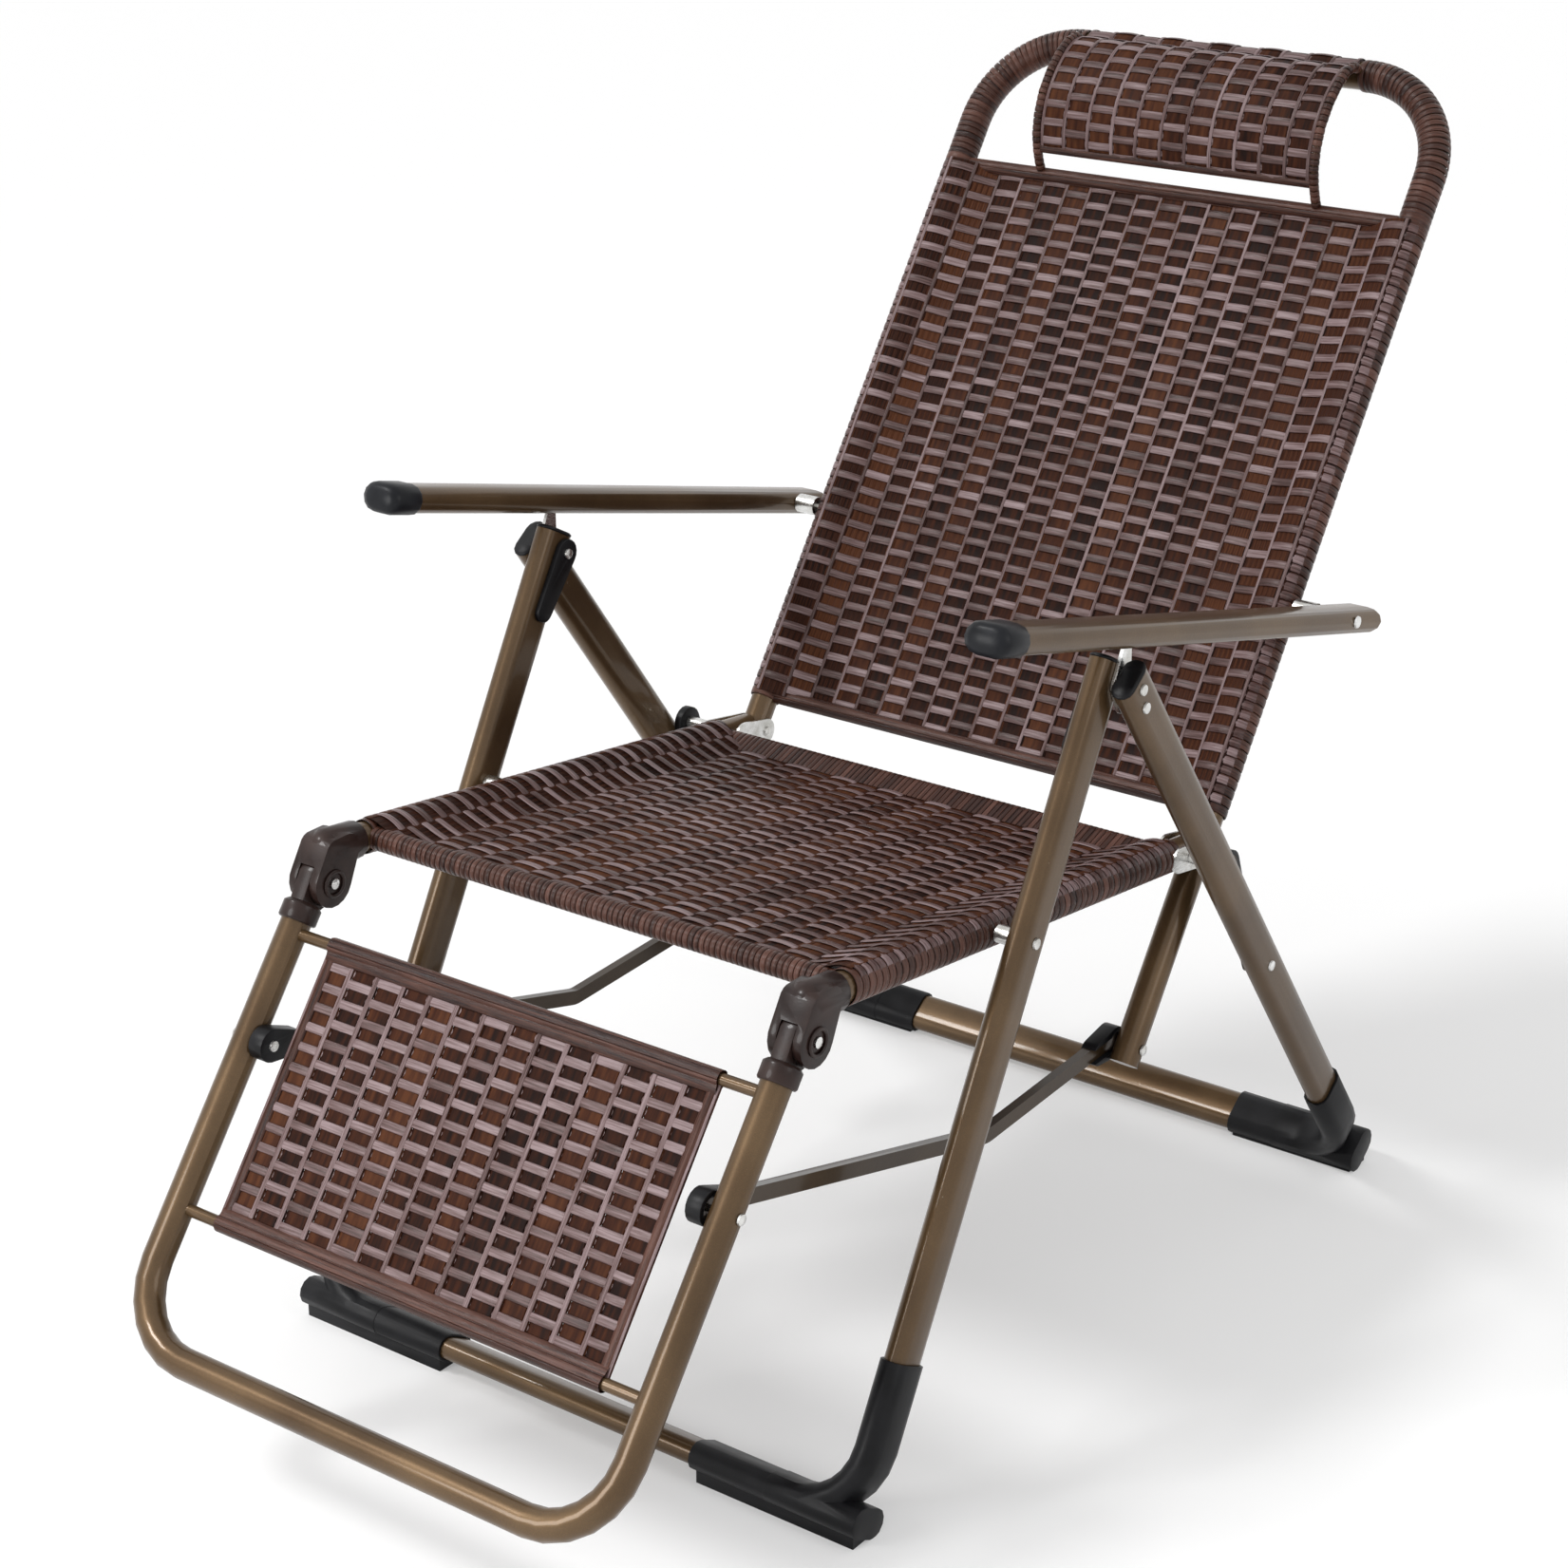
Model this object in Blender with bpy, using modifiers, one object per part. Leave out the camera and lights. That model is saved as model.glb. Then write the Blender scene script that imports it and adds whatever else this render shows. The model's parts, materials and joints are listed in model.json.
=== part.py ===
"""Folding reclining garden chair: crossed oval-tube legs, woven seat, back and footrest
on round tube frames, a headrest band, sliding arms and a footrest driven by side links.

Metres, Z up, X to the sitter's left, the sitter looks towards -Y. Side-plane points are
written (y, z). Everything is drawn with y = 0 at the front feet, then the whole assembly
is moved so that the origin is the centre of its box's underside.
"""
import math

import bmesh
import bpy
from mathutils import Matrix, Vector, geometry

# Clearances
FIT = 0.0003
BORE = 0.0003
SLIDE = 0.0006

# Tubes and bars
TUBE_R = 0.0127
LEG_SHORT, LEG_LONG = 0.019, 0.038
ARM_HIGH, ARM_WIDE = 0.023, 0.038
ROD_R = 0.005
RAIL_R = 0.008
WIRE_R = 0.003
PLATE = 0.003
HINGE_PLATE = 0.002
WEAVE_WRAP = 0.0025
WEAVE_SLAB = 0.007

# Layers across the chair, from the middle out
TUBE_X = 0.240
FRONT_X = 0.280
REAR_X = 0.303
PLATE_X0, PLATE_X1 = 0.2900, 0.2930
ARM_X = 0.2955
LINK_X0, LINK_X1 = 0.2145, 0.2225
LINK_CAP_X0, LINK_CAP_X1 = 0.2130, 0.2266

# Pivots (y, z)
LEG_PIVOT = (0.3125, 0.6040)
SEAT_PIVOT = (0.2050, 0.4230)
BACK_PIVOT = (0.5450, 0.3775)
KNUCKLE = (-0.0320, 0.4225)
STAY_TOP = (0.5060, 0.3850)
STAY_FOOT = (0.5513, 0.2822)
LEVER = (0.4416, 0.2270)
FOOT_LINK = (-0.1209, 0.3165)
LINK_BEND = (0.2504, 0.2166)
ARM_PIVOT = (0.6670, 0.5625)
BRACKET_RIVET = (0.3180, 0.5877)
BRACKET_TOP = (0.3213, 0.6345)

# Leg frames: middle of the floor bar and middle of the open end
FRONT_FOOT, FRONT_END = (-0.0135, 0.0165), (0.3115, 0.6210)
REAR_FOOT, REAR_END = (0.7517, 0.0178), (0.3069, 0.6113)
LEG_BEND = 0.055
COVER_WALL = 0.0026
FRONT_COVER_IN, FRONT_COVER_RISE = 0.132, 0.125
REAR_COVER_IN, REAR_COVER_RISE = 0.183, 0.115

# Seat, back and footrest frames: a point on the tube line and its direction
SEAT_LINE, SEAT_DIR = (0.2050, 0.4205), (0.99311, -0.11719)
SEAT_START, SEAT_END, SEAT_SLANT = -0.2165, 0.3195, 1.075
SEAT_RAIL_FRONT, SEAT_RAIL_REAR = -0.1830, 0.2830
SEAT_WRAP_START, SEAT_WRAP_END = -0.1885, 0.2630
BACK_DIR = (0.56640, 0.82413)
BACK_START, BACK_TOP, BACK_BEND = -0.1985, 0.7188, 0.090
BACK_ROD_LOW, BACK_ROD_HIGH = 0.0350, 0.5840
FOOT_LINE, FOOT_DIR = (-0.0380, 0.4270), (-0.6, -0.8)
FOOT_START, FOOT_END, FOOT_BEND = 0.0255, 0.3903, 0.065
FOOT_ROD_HIGH, FOOT_ROD_LOW = 0.0480, 0.2810
FOOT_PANEL = 0.195
HEAD_HALF = 0.1422
HEAD_WIRE_X = 0.1458
LOOP_WRAP_END = HEAD_WIRE_X + WIRE_R + 2 * FIT
ARM_REAR, ARM_TIP = (0.7137, 0.5500), (0.1120, 0.6970)
ARM_CAP_LONG = 0.033

# Knuckles
KNUCKLE_R = 0.0205
CHEEK = 0.0075
KNUCKLE_HALF = 0.0150
SOCKET_R = 0.0160

# Bolts
SHANK_R = 0.003
HEAD_R = 0.0048
HEAD_T = 0.0024

bpy.ops.object.select_all(action="DESELECT")
for old in list(bpy.data.objects):
    bpy.data.objects.remove(old)

CHAIR = bpy.data.collections.new("recliner_chair")
CUTTERS = bpy.data.collections.new("cutters")
for group in (CHAIR, CUTTERS):
    bpy.context.scene.collection.children.link(group)
CUTTERS.hide_render = True


def material(name, colour, metallic, roughness, coat=0.0):
    made = bpy.data.materials.new(name)
    made.use_nodes = True
    shader = made.node_tree.nodes["Principled BSDF"]
    shader.inputs["Base Color"].default_value = (*colour, 1.0)
    shader.inputs["Metallic"].default_value = metallic
    shader.inputs["Roughness"].default_value = roughness
    shader.inputs["Coat Weight"].default_value = coat
    return made


PAINT = material("bronze_paint", (0.25, 0.15, 0.065), 0.35, 0.34, 0.3)
WICKER = material("woven_resin", (0.035, 0.018, 0.014), 0.0, 0.42)
KNUCKLE_PLASTIC = material("knuckle_plastic", (0.055, 0.036, 0.032), 0.0, 0.45)
BLACK_PLASTIC = material("black_plastic", (0.012, 0.012, 0.013), 0.0, 0.5)
BLACK_RUBBER = material("black_rubber", (0.015, 0.015, 0.015), 0.0, 0.7)
ZINC = material("zinc_steel", (0.62, 0.62, 0.60), 1.0, 0.3)


def vec(point, x=0.0):
    """A 3-D vector from a side-plane point."""
    return Vector((x, point[0], point[1]))


def along(start, direction, distance, up=0.0):
    """The side-plane point at a distance along a line, and up from it at right angles."""
    return (
        start[0] + direction[0] * distance - direction[1] * up,
        start[1] + direction[1] * distance + direction[0] * up,
    )


def unit(a, b):
    long = math.dist(a, b)
    return ((b[0] - a[0]) / long, (b[1] - a[1]) / long)


def circle(centre, radius, count=24):
    turn = 2 * math.pi / count
    return [
        (centre[0] + radius * math.cos(i * turn), centre[1] + radius * math.sin(i * turn))
        for i in range(count)
    ]


def hull(*circles, count=18):
    """The outline round several circles, each (centre, radius)."""
    points = [p for centre, radius in circles for p in circle(centre, radius, count)]
    return [points[i] for i in geometry.convex_hull_2d(points)]


def flat_oval(short, long, half_steps=6):
    """A flat-sided oval, its long side on the second axis."""
    radius, shift = short / 2, (long - short) / 2
    points = []
    for sign in (1, -1):
        for i in range(half_steps + 1):
            turn = math.pi * i / half_steps + (0 if sign > 0 else math.pi)
            points.append((radius * math.cos(turn), radius * math.sin(turn) + sign * shift))
    return points


def rectangle(wide, high):
    return [(-wide / 2, -high / 2), (wide / 2, -high / 2), (wide / 2, high / 2), (-wide / 2, high / 2)]


def rounded(points, radius, steps=6):
    """A polyline in space with its inner corners turned into arcs."""
    path = [points[0]]
    for before, corner, after in zip(points, points[1:], points[2:]):
        a, b = (before - corner).normalized(), (after - corner).normalized()
        half = a.angle(b) / 2
        reach = radius / math.tan(half)
        centre = corner + (a + b).normalized() * (radius / math.sin(half))
        start = (corner + a * reach - centre).normalized()
        end = (corner + b * reach - centre).normalized()
        path += [centre + start.slerp(end, i / steps) * radius for i in range(steps + 1)]
    return path + [points[-1]]


def finished(obj):
    """The object's evaluated mesh in chair coordinates, its loose caps welded; the object goes."""
    bpy.context.scene.collection.objects.link(obj)
    bpy.context.view_layer.update()
    mesh = bpy.data.meshes.new_from_object(obj.evaluated_get(bpy.context.evaluated_depsgraph_get()))
    mesh.transform(obj.matrix_world)
    work = bmesh.new()
    work.from_mesh(mesh)
    bmesh.ops.remove_doubles(work, verts=work.verts, dist=0.00001)
    bmesh.ops.recalc_face_normals(work, faces=work.faces)
    work.to_mesh(mesh)
    work.free()
    bpy.data.objects.remove(obj)
    return mesh


def outline_curve(points):
    """A closed flat outline."""
    curve = bpy.data.curves.new("outline", "CURVE")
    curve.dimensions = "2D"
    spline = curve.splines.new("POLY")
    spline.points.add(len(points) - 1)
    for point, (a, b) in zip(spline.points, points):
        point.co = (a, b, 0, 1)
    spline.use_cyclic_u = True
    return curve


def sweep(path, section, normal, radii=None):
    """A tube along a path in the plane of this normal: round for a radius, or of any section."""
    away, across = (path[1] - path[0]).normalized(), normal.normalized()
    frame = Matrix((away, across.cross(away), across)).transposed().to_4x4()
    frame.translation = path[0]
    curve = bpy.data.curves.new("line", "CURVE")
    curve.dimensions = "3D"
    curve.twist_mode = "Z_UP"
    curve.use_fill_caps = True
    spline = curve.splines.new("POLY")
    spline.points.add(len(path) - 1)
    for i, point in enumerate(path):
        spline.points[i].co = (*(frame.inverted() @ point), 1)
        spline.points[i].radius = radii[i] if radii else 1
    profile = None
    if isinstance(section, tuple):
        curve.bevel_depth, curve.bevel_resolution = section
    else:
        profile = bpy.data.objects.new("section", outline_curve(section))
        bpy.context.scene.collection.objects.link(profile)
        curve.bevel_mode = "OBJECT"
        curve.bevel_object = profile
    line = bpy.data.objects.new("line", curve)
    line.matrix_world = frame
    mesh = finished(line)
    if profile:
        bpy.data.objects.remove(profile)
    return mesh


def prism(outline, x0, x1):
    """A side-plane outline carried straight across from x0 to x1."""
    curve = outline_curve(outline)
    curve.fill_mode = "BOTH"
    curve.extrude = (x1 - x0) / 2
    plate = bpy.data.objects.new("plate", curve)
    plate.matrix_world = Matrix(((0, 0, 1, (x0 + x1) / 2), (1, 0, 0, 0), (0, 1, 0, 0), (0, 0, 0, 1)))
    return finished(plate)


def turned(profile, centre, count=20):
    """A profile of (x, radius) turned about the line along X through a side-plane point."""
    mesh = bpy.data.meshes.new("profile")
    points = [(0, 0, profile[0][0])] + [(r, 0, x) for x, r in profile] + [(0, 0, profile[-1][0])]
    mesh.from_pydata(points, [(i, i + 1) for i in range(len(points) - 1)], [])
    lathe = bpy.data.objects.new("lathe", mesh)
    screw = lathe.modifiers.new("turn", "SCREW")
    screw.steps = screw.render_steps = count
    screw.use_merge_vertices = True
    screw.merge_threshold = 0.00001
    lathe.matrix_world = Matrix(((0, 0, 1, 0), (1, 0, 0, centre[0]), (0, 1, 0, centre[1]), (0, 0, 0, 1)))
    return finished(lathe)


def rod(start, end, radius, sides=16):
    """A straight round bar between two points in space."""
    work = bmesh.new()
    turn = (end - start).to_track_quat("Z", "X").to_matrix().to_4x4()
    bmesh.ops.create_cone(work, cap_ends=True, segments=sides, radius1=radius, radius2=radius,
                          depth=(end - start).length, matrix=Matrix.Translation((start + end) / 2) @ turn)
    mesh = bpy.data.meshes.new("rod")
    work.to_mesh(mesh)
    work.free()
    return mesh


def box(x0, x1, y0, y1, z0, z1):
    work = bmesh.new()
    place = Matrix.Translation(((x0 + x1) / 2, (y0 + y1) / 2, (z0 + z1) / 2))
    bmesh.ops.create_cube(work, size=1, matrix=place @ Matrix.Diagonal((x1 - x0, y1 - y0, z1 - z0, 1)))
    mesh = bpy.data.meshes.new("box")
    work.to_mesh(mesh)
    work.free()
    return mesh


def mesh_of(name, mesh, side):
    """The mesh on this side of the chair (+1 left, -1 right)."""
    mesh.name = name
    mesh.materials.clear()
    if side < 0:
        mesh.transform(Matrix.Scale(-1, 4, (1, 0, 0)))
        mesh.flip_normals()
    return mesh


BODIES = {}


def body(name, parent, pivot, x=0.0):
    """An empty on the joint axis that carries one moving group."""
    empty = bpy.data.objects.new("joint_" + name, None)
    CHAIR.objects.link(empty)
    empty.empty_display_size = 0.03
    place = vec(pivot, x)
    BODIES[name] = (empty, place)
    if parent:
        empty.parent = BODIES[parent][0]
        place = place - BODIES[parent][1]
    empty.location = place


def held(obj, owner):
    """Parents an object drawn in chair coordinates to its body's empty, without moving it."""
    obj.parent = BODIES[owner][0]
    obj.location = -BODIES[owner][1]


def make(owner, name, paint, shape, side=1):
    """A named piece from a mesh in chair coordinates, held by its body's empty."""
    mesh = mesh_of(name, shape, side)
    mesh.materials.append(paint)
    mesh.shade_smooth()
    mesh.set_sharp_from_angle(angle=math.radians(38))
    obj = bpy.data.objects.new(name, mesh)
    CHAIR.objects.link(obj)
    held(obj, owner)
    obj["owner"] = owner
    return obj


def combine(obj, shape, side, operation, label):
    helper = bpy.data.objects.new(
        f"{label}_{obj.name}_{len(obj.modifiers)}", mesh_of(label, shape, side)
    )
    helper.data.shade_smooth()
    helper.data.set_sharp_from_angle(angle=math.radians(38))
    helper.data.materials.append(obj.data.materials[0])
    CUTTERS.objects.link(helper)
    held(helper, obj["owner"])
    helper.hide_render = True
    helper.display_type = "WIRE"
    modifier = obj.modifiers.new(helper.name, "BOOLEAN")
    modifier.operation = operation
    modifier.solver = "EXACT"
    modifier.object = helper


def cut(obj, shape, side=1):
    combine(obj, shape, side, "DIFFERENCE", "cut")


def fuse(obj, shape, side=1):
    combine(obj, shape, side, "UNION", "fuse")


def keep(obj, shape, side=1):
    combine(obj, shape, side, "INTERSECT", "keep")


def bore(obj, centre, x0, x1, side, extra=BORE, count=14):
    """A bolt hole through a piece, longer than its wall."""
    cut(obj, turned([(x0, SHANK_R + extra), (x1, SHANK_R + extra)], centre, count), side)


def bolt(owner, name, centre, steps, side, paint=ZINC):
    """A turned bolt. Steps are (x, radius) pairs along it."""
    return make(owner, name, paint, turned(steps, centre, 12), side)


def head(x, out, radius=HEAD_R, thick=HEAD_T):
    """The steps of a domed head standing on x, outwards for out = 1."""
    return [(x, radius), (x + out * thick * 0.65, radius * 0.93), (x + out * thick, radius * 0.5)]


body("front_legs", None, (0.0, 0.0))
body("rear_legs", "front_legs", LEG_PIVOT)
body("seat", "front_legs", SEAT_PIVOT)
body("back", "seat", BACK_PIVOT)
body("footrest", "seat", KNUCKLE)
for label, side in (("left", 1), ("right", -1)):
    body("stay_" + label, "seat", STAY_TOP, side * PLATE_X0)
    body("link_" + label, "footrest", FOOT_LINK, side * LINK_X0)
    body("arm_" + label, "back", ARM_PIVOT, side * ARM_X)

AXIS = Vector((1, 0, 0))


def leg_path(foot, end, half, top=0.0):
    """A leg frame's centre line: down one leg, across the floor bar and up the other."""
    up = unit(foot, end)
    tip = along(end, up, top)
    corners = [vec(tip, -half), vec(foot, -half), vec(foot, half), vec(tip, half)]
    return rounded(corners, LEG_BEND), vec(up).cross(AXIS)


def leg_frame(owner, name, foot, end, half):
    path, normal = leg_path(foot, end, half)
    return make(owner, name, PAINT, sweep(path, flat_oval(LEG_SHORT, LEG_LONG), normal))


def corner_path(foot, end, half, inner, rise):
    """The part of a leg frame's line that its foot cover holds, on the left side."""
    up = unit(foot, end)
    return rounded([vec(foot, inner), vec(foot, half), vec(along(foot, up, rise), half)], LEG_BEND)


def foot_cover(owner, name, foot, end, half, inner, rise, side):
    """A shoe round the corner of a leg frame, flat underneath, squared at the heel."""
    normal = vec(unit(foot, end)).cross(AXIS)
    up = unit(foot, end)
    outer = flat_oval(LEG_SHORT + 2 * COVER_WALL, LEG_LONG + 2 * COVER_WALL)
    shoe = make(owner, name, BLACK_PLASTIC, sweep(corner_path(foot, end, half, inner, rise), outer, normal), side)
    heel_in = half - LEG_BEND * 1.35
    low, high = foot[0] - LEG_LONG / 2, foot[0] + LEG_LONG / 2
    reach = half + LEG_SHORT / 2 + COVER_WALL
    fuse(shoe, box(inner + 0.004, reach - 0.004, low + 0.004, high - 0.004, 0.0, 0.012), side)
    heel = flat_oval(LEG_SHORT + 2 * COVER_WALL + 0.0010, LEG_LONG + 2 * COVER_WALL + 0.0010)
    fuse(shoe, sweep([vec(foot, heel_in), vec(foot, reach - 0.0005)], heel, normal), side)
    cut(shoe, box(inner - 0.05, reach + 0.05, low - 0.1, high + 0.1, -0.05, 0.0), side)
    tube_path = corner_path(foot, end, half, inner - 0.02, rise + 0.02)
    cut(shoe, sweep(tube_path, flat_oval(LEG_SHORT + 2 * FIT, LEG_LONG + 2 * FIT), normal), side)
    return shoe


def leg_plug(owner, name, end, foot, half, side):
    """The oval plug that closes a leg's open end."""
    up = unit(foot, end)
    normal = vec(up).cross(AXIS)
    path = [vec(along(end, up, d), half) for d in (FIT, 0.0020, 0.0034)]
    section = flat_oval(LEG_SHORT + 0.0006, LEG_LONG + 0.0006)
    return make(owner, name, BLACK_PLASTIC, sweep(path, section, normal, [1, 1, 0.85]), side)


# Front legs
front_frame = leg_frame("front_legs", "front_leg_frame", FRONT_FOOT, FRONT_END, FRONT_X)
rear_frame = leg_frame("rear_legs", "rear_leg_frame", REAR_FOOT, REAR_END, REAR_X)
FRONT_IN, FRONT_OUT = FRONT_X - LEG_SHORT / 2, FRONT_X + LEG_SHORT / 2
REAR_IN, REAR_OUT = REAR_X - LEG_SHORT / 2, REAR_X + LEG_SHORT / 2
WRAP_R = TUBE_R + FIT + WEAVE_WRAP
WRAP_OUT = TUBE_X + WRAP_R
TUBE_IN, TUBE_OUT = TUBE_X - TUBE_R, TUBE_X + TUBE_R
TAB_X0, TAB_X1 = FRONT_IN - 0.0050, FRONT_IN - FIT
TAB_LOW = along(LEG_PIVOT, unit(FRONT_END, FRONT_FOOT), 0.055, -0.006)

for label, side in (("left", 1), ("right", -1)):
    foot_cover("front_legs", "front_foot_cover_" + label, FRONT_FOOT, FRONT_END, FRONT_X,
               FRONT_COVER_IN, FRONT_COVER_RISE, side)
    foot_cover("rear_legs", "rear_foot_cover_" + label, REAR_FOOT, REAR_END, REAR_X,
               REAR_COVER_IN, REAR_COVER_RISE, side)
    leg_plug("front_legs", "front_leg_plug_" + label, FRONT_END, FRONT_FOOT, FRONT_X, side)
    leg_plug("rear_legs", "rear_leg_plug_" + label, REAR_END, REAR_FOOT, REAR_X, side)
    bore(front_frame, LEG_PIVOT, FRONT_IN - 0.01, FRONT_OUT + 0.01, side)
    bore(front_frame, SEAT_PIVOT, FRONT_IN - 0.01, FRONT_OUT + 0.01, side)
    bore(rear_frame, LEG_PIVOT, REAR_IN - 0.01, REAR_OUT + 0.01, side)
    bore(rear_frame, BRACKET_RIVET, REAR_IN - 0.01, REAR_OUT + 0.01, side)
    bore(rear_frame, STAY_FOOT, REAR_IN - 0.01, REAR_OUT + 0.01, side)

    tab = make("front_legs", "pivot_tab_" + label, BLACK_PLASTIC,
               prism(hull((LEG_PIVOT, 0.0125), (TAB_LOW, 0.009)), TAB_X0, TAB_X1), side)
    bore(tab, LEG_PIVOT, TAB_X0 - 0.01, TAB_X1 + 0.01, side)

    # Bolts of the leg frames
    bolt("rear_legs", "leg_pivot_bolt_" + label, LEG_PIVOT,
         head(TAB_X0 - FIT, -1)[::-1] + [(TAB_X0 - FIT, SHANK_R), (REAR_OUT + FIT, SHANK_R)]
         + head(REAR_OUT + FIT, 1), side)
    bolt("front_legs", "seat_pivot_bolt_" + label, SEAT_PIVOT,
         [(TUBE_X, SHANK_R), (WRAP_OUT + FIT, SHANK_R), (WRAP_OUT + FIT, 0.0075), (FRONT_IN - FIT, 0.0075),
          (FRONT_IN - FIT, SHANK_R), (FRONT_OUT + FIT, SHANK_R)]
         + head(FRONT_OUT + FIT, 1, HEAD_R, 0.0026), side)
    bolt("rear_legs", "stay_foot_bolt_" + label, STAY_FOOT,
         [(REAR_IN + 0.0002, SHANK_R), (REAR_OUT + FIT, SHANK_R)] + head(REAR_OUT + FIT, 1), side)

    # Arm bracket: a plate riveted to the rear leg, its tongue inside the arm's groove
    bracket = make("rear_legs", "arm_bracket_" + label, ZINC,
                   prism(hull((LEG_PIVOT, 0.011), (BRACKET_RIVET, 0.009), (BRACKET_TOP, 0.005)),
                         PLATE_X0, PLATE_X1), side)
    bore(bracket, LEG_PIVOT, PLATE_X0 - 0.01, PLATE_X1 + 0.01, side)
    fuse(bracket, turned([(PLATE_X0 + 0.0008, SHANK_R), (REAR_OUT + FIT, SHANK_R)]
                         + head(REAR_OUT + FIT, 1), BRACKET_RIVET, 12), side)

# Seat
seat_up = vec((-SEAT_DIR[1], SEAT_DIR[0]))


def seat_point(distance, x=0.0, up=0.0):
    return vec(along(SEAT_LINE, SEAT_DIR, distance, up), x)


def seat_yz(distance, up=0.0):
    return along(SEAT_LINE, SEAT_DIR, distance, up)


seat_frame = make("seat", "seat_frame", PAINT,
                  rod(seat_point(SEAT_START, TUBE_X), seat_point(SEAT_END + 2 * TUBE_R, TUBE_X), TUBE_R))
fuse(seat_frame, rod(seat_point(SEAT_START, -TUBE_X), seat_point(SEAT_END + 2 * TUBE_R, -TUBE_X), TUBE_R))
for place in (SEAT_RAIL_FRONT, SEAT_RAIL_REAR):
    fuse(seat_frame, turned([(-TUBE_X, RAIL_R), (TUBE_X, RAIL_R)], seat_yz(place)))
off = 2.4 * TUBE_R
slant = [seat_yz(SEAT_END - SEAT_SLANT * off, -off), seat_yz(SEAT_END + 4 * off, -off),
         seat_yz(SEAT_END + 4 * off, off), seat_yz(SEAT_END + SEAT_SLANT * off, off)]
cut(seat_frame, prism(slant, -FRONT_X, FRONT_X))

seat_weave = make("seat", "seat_weave", WICKER,
                  sweep([seat_point(SEAT_RAIL_FRONT), seat_point(SEAT_RAIL_REAR)],
                        rectangle(WEAVE_SLAB, 2 * TUBE_X), AXIS))
for place in (SEAT_RAIL_FRONT, SEAT_RAIL_REAR):
    wrap = RAIL_R + FIT + WEAVE_WRAP
    fuse(seat_weave, turned([(-TUBE_X + 0.004, wrap), (TUBE_X - 0.004, wrap)], seat_yz(place), 20))
for side in (1, -1):
    fuse(seat_weave, rod(seat_point(SEAT_WRAP_START, TUBE_X), seat_point(SEAT_WRAP_END, TUBE_X), WRAP_R, 20), side)
    cut(seat_weave, rod(seat_point(SEAT_START - TUBE_R, TUBE_X), seat_point(SEAT_END + TUBE_R, TUBE_X),
                        TUBE_R + FIT, 20), side)
for place in (SEAT_RAIL_FRONT, SEAT_RAIL_REAR):
    cut(seat_weave, turned([(-TUBE_X - 0.005, RAIL_R + FIT), (TUBE_X + 0.005, RAIL_R + FIT)], seat_yz(place)))

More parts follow.
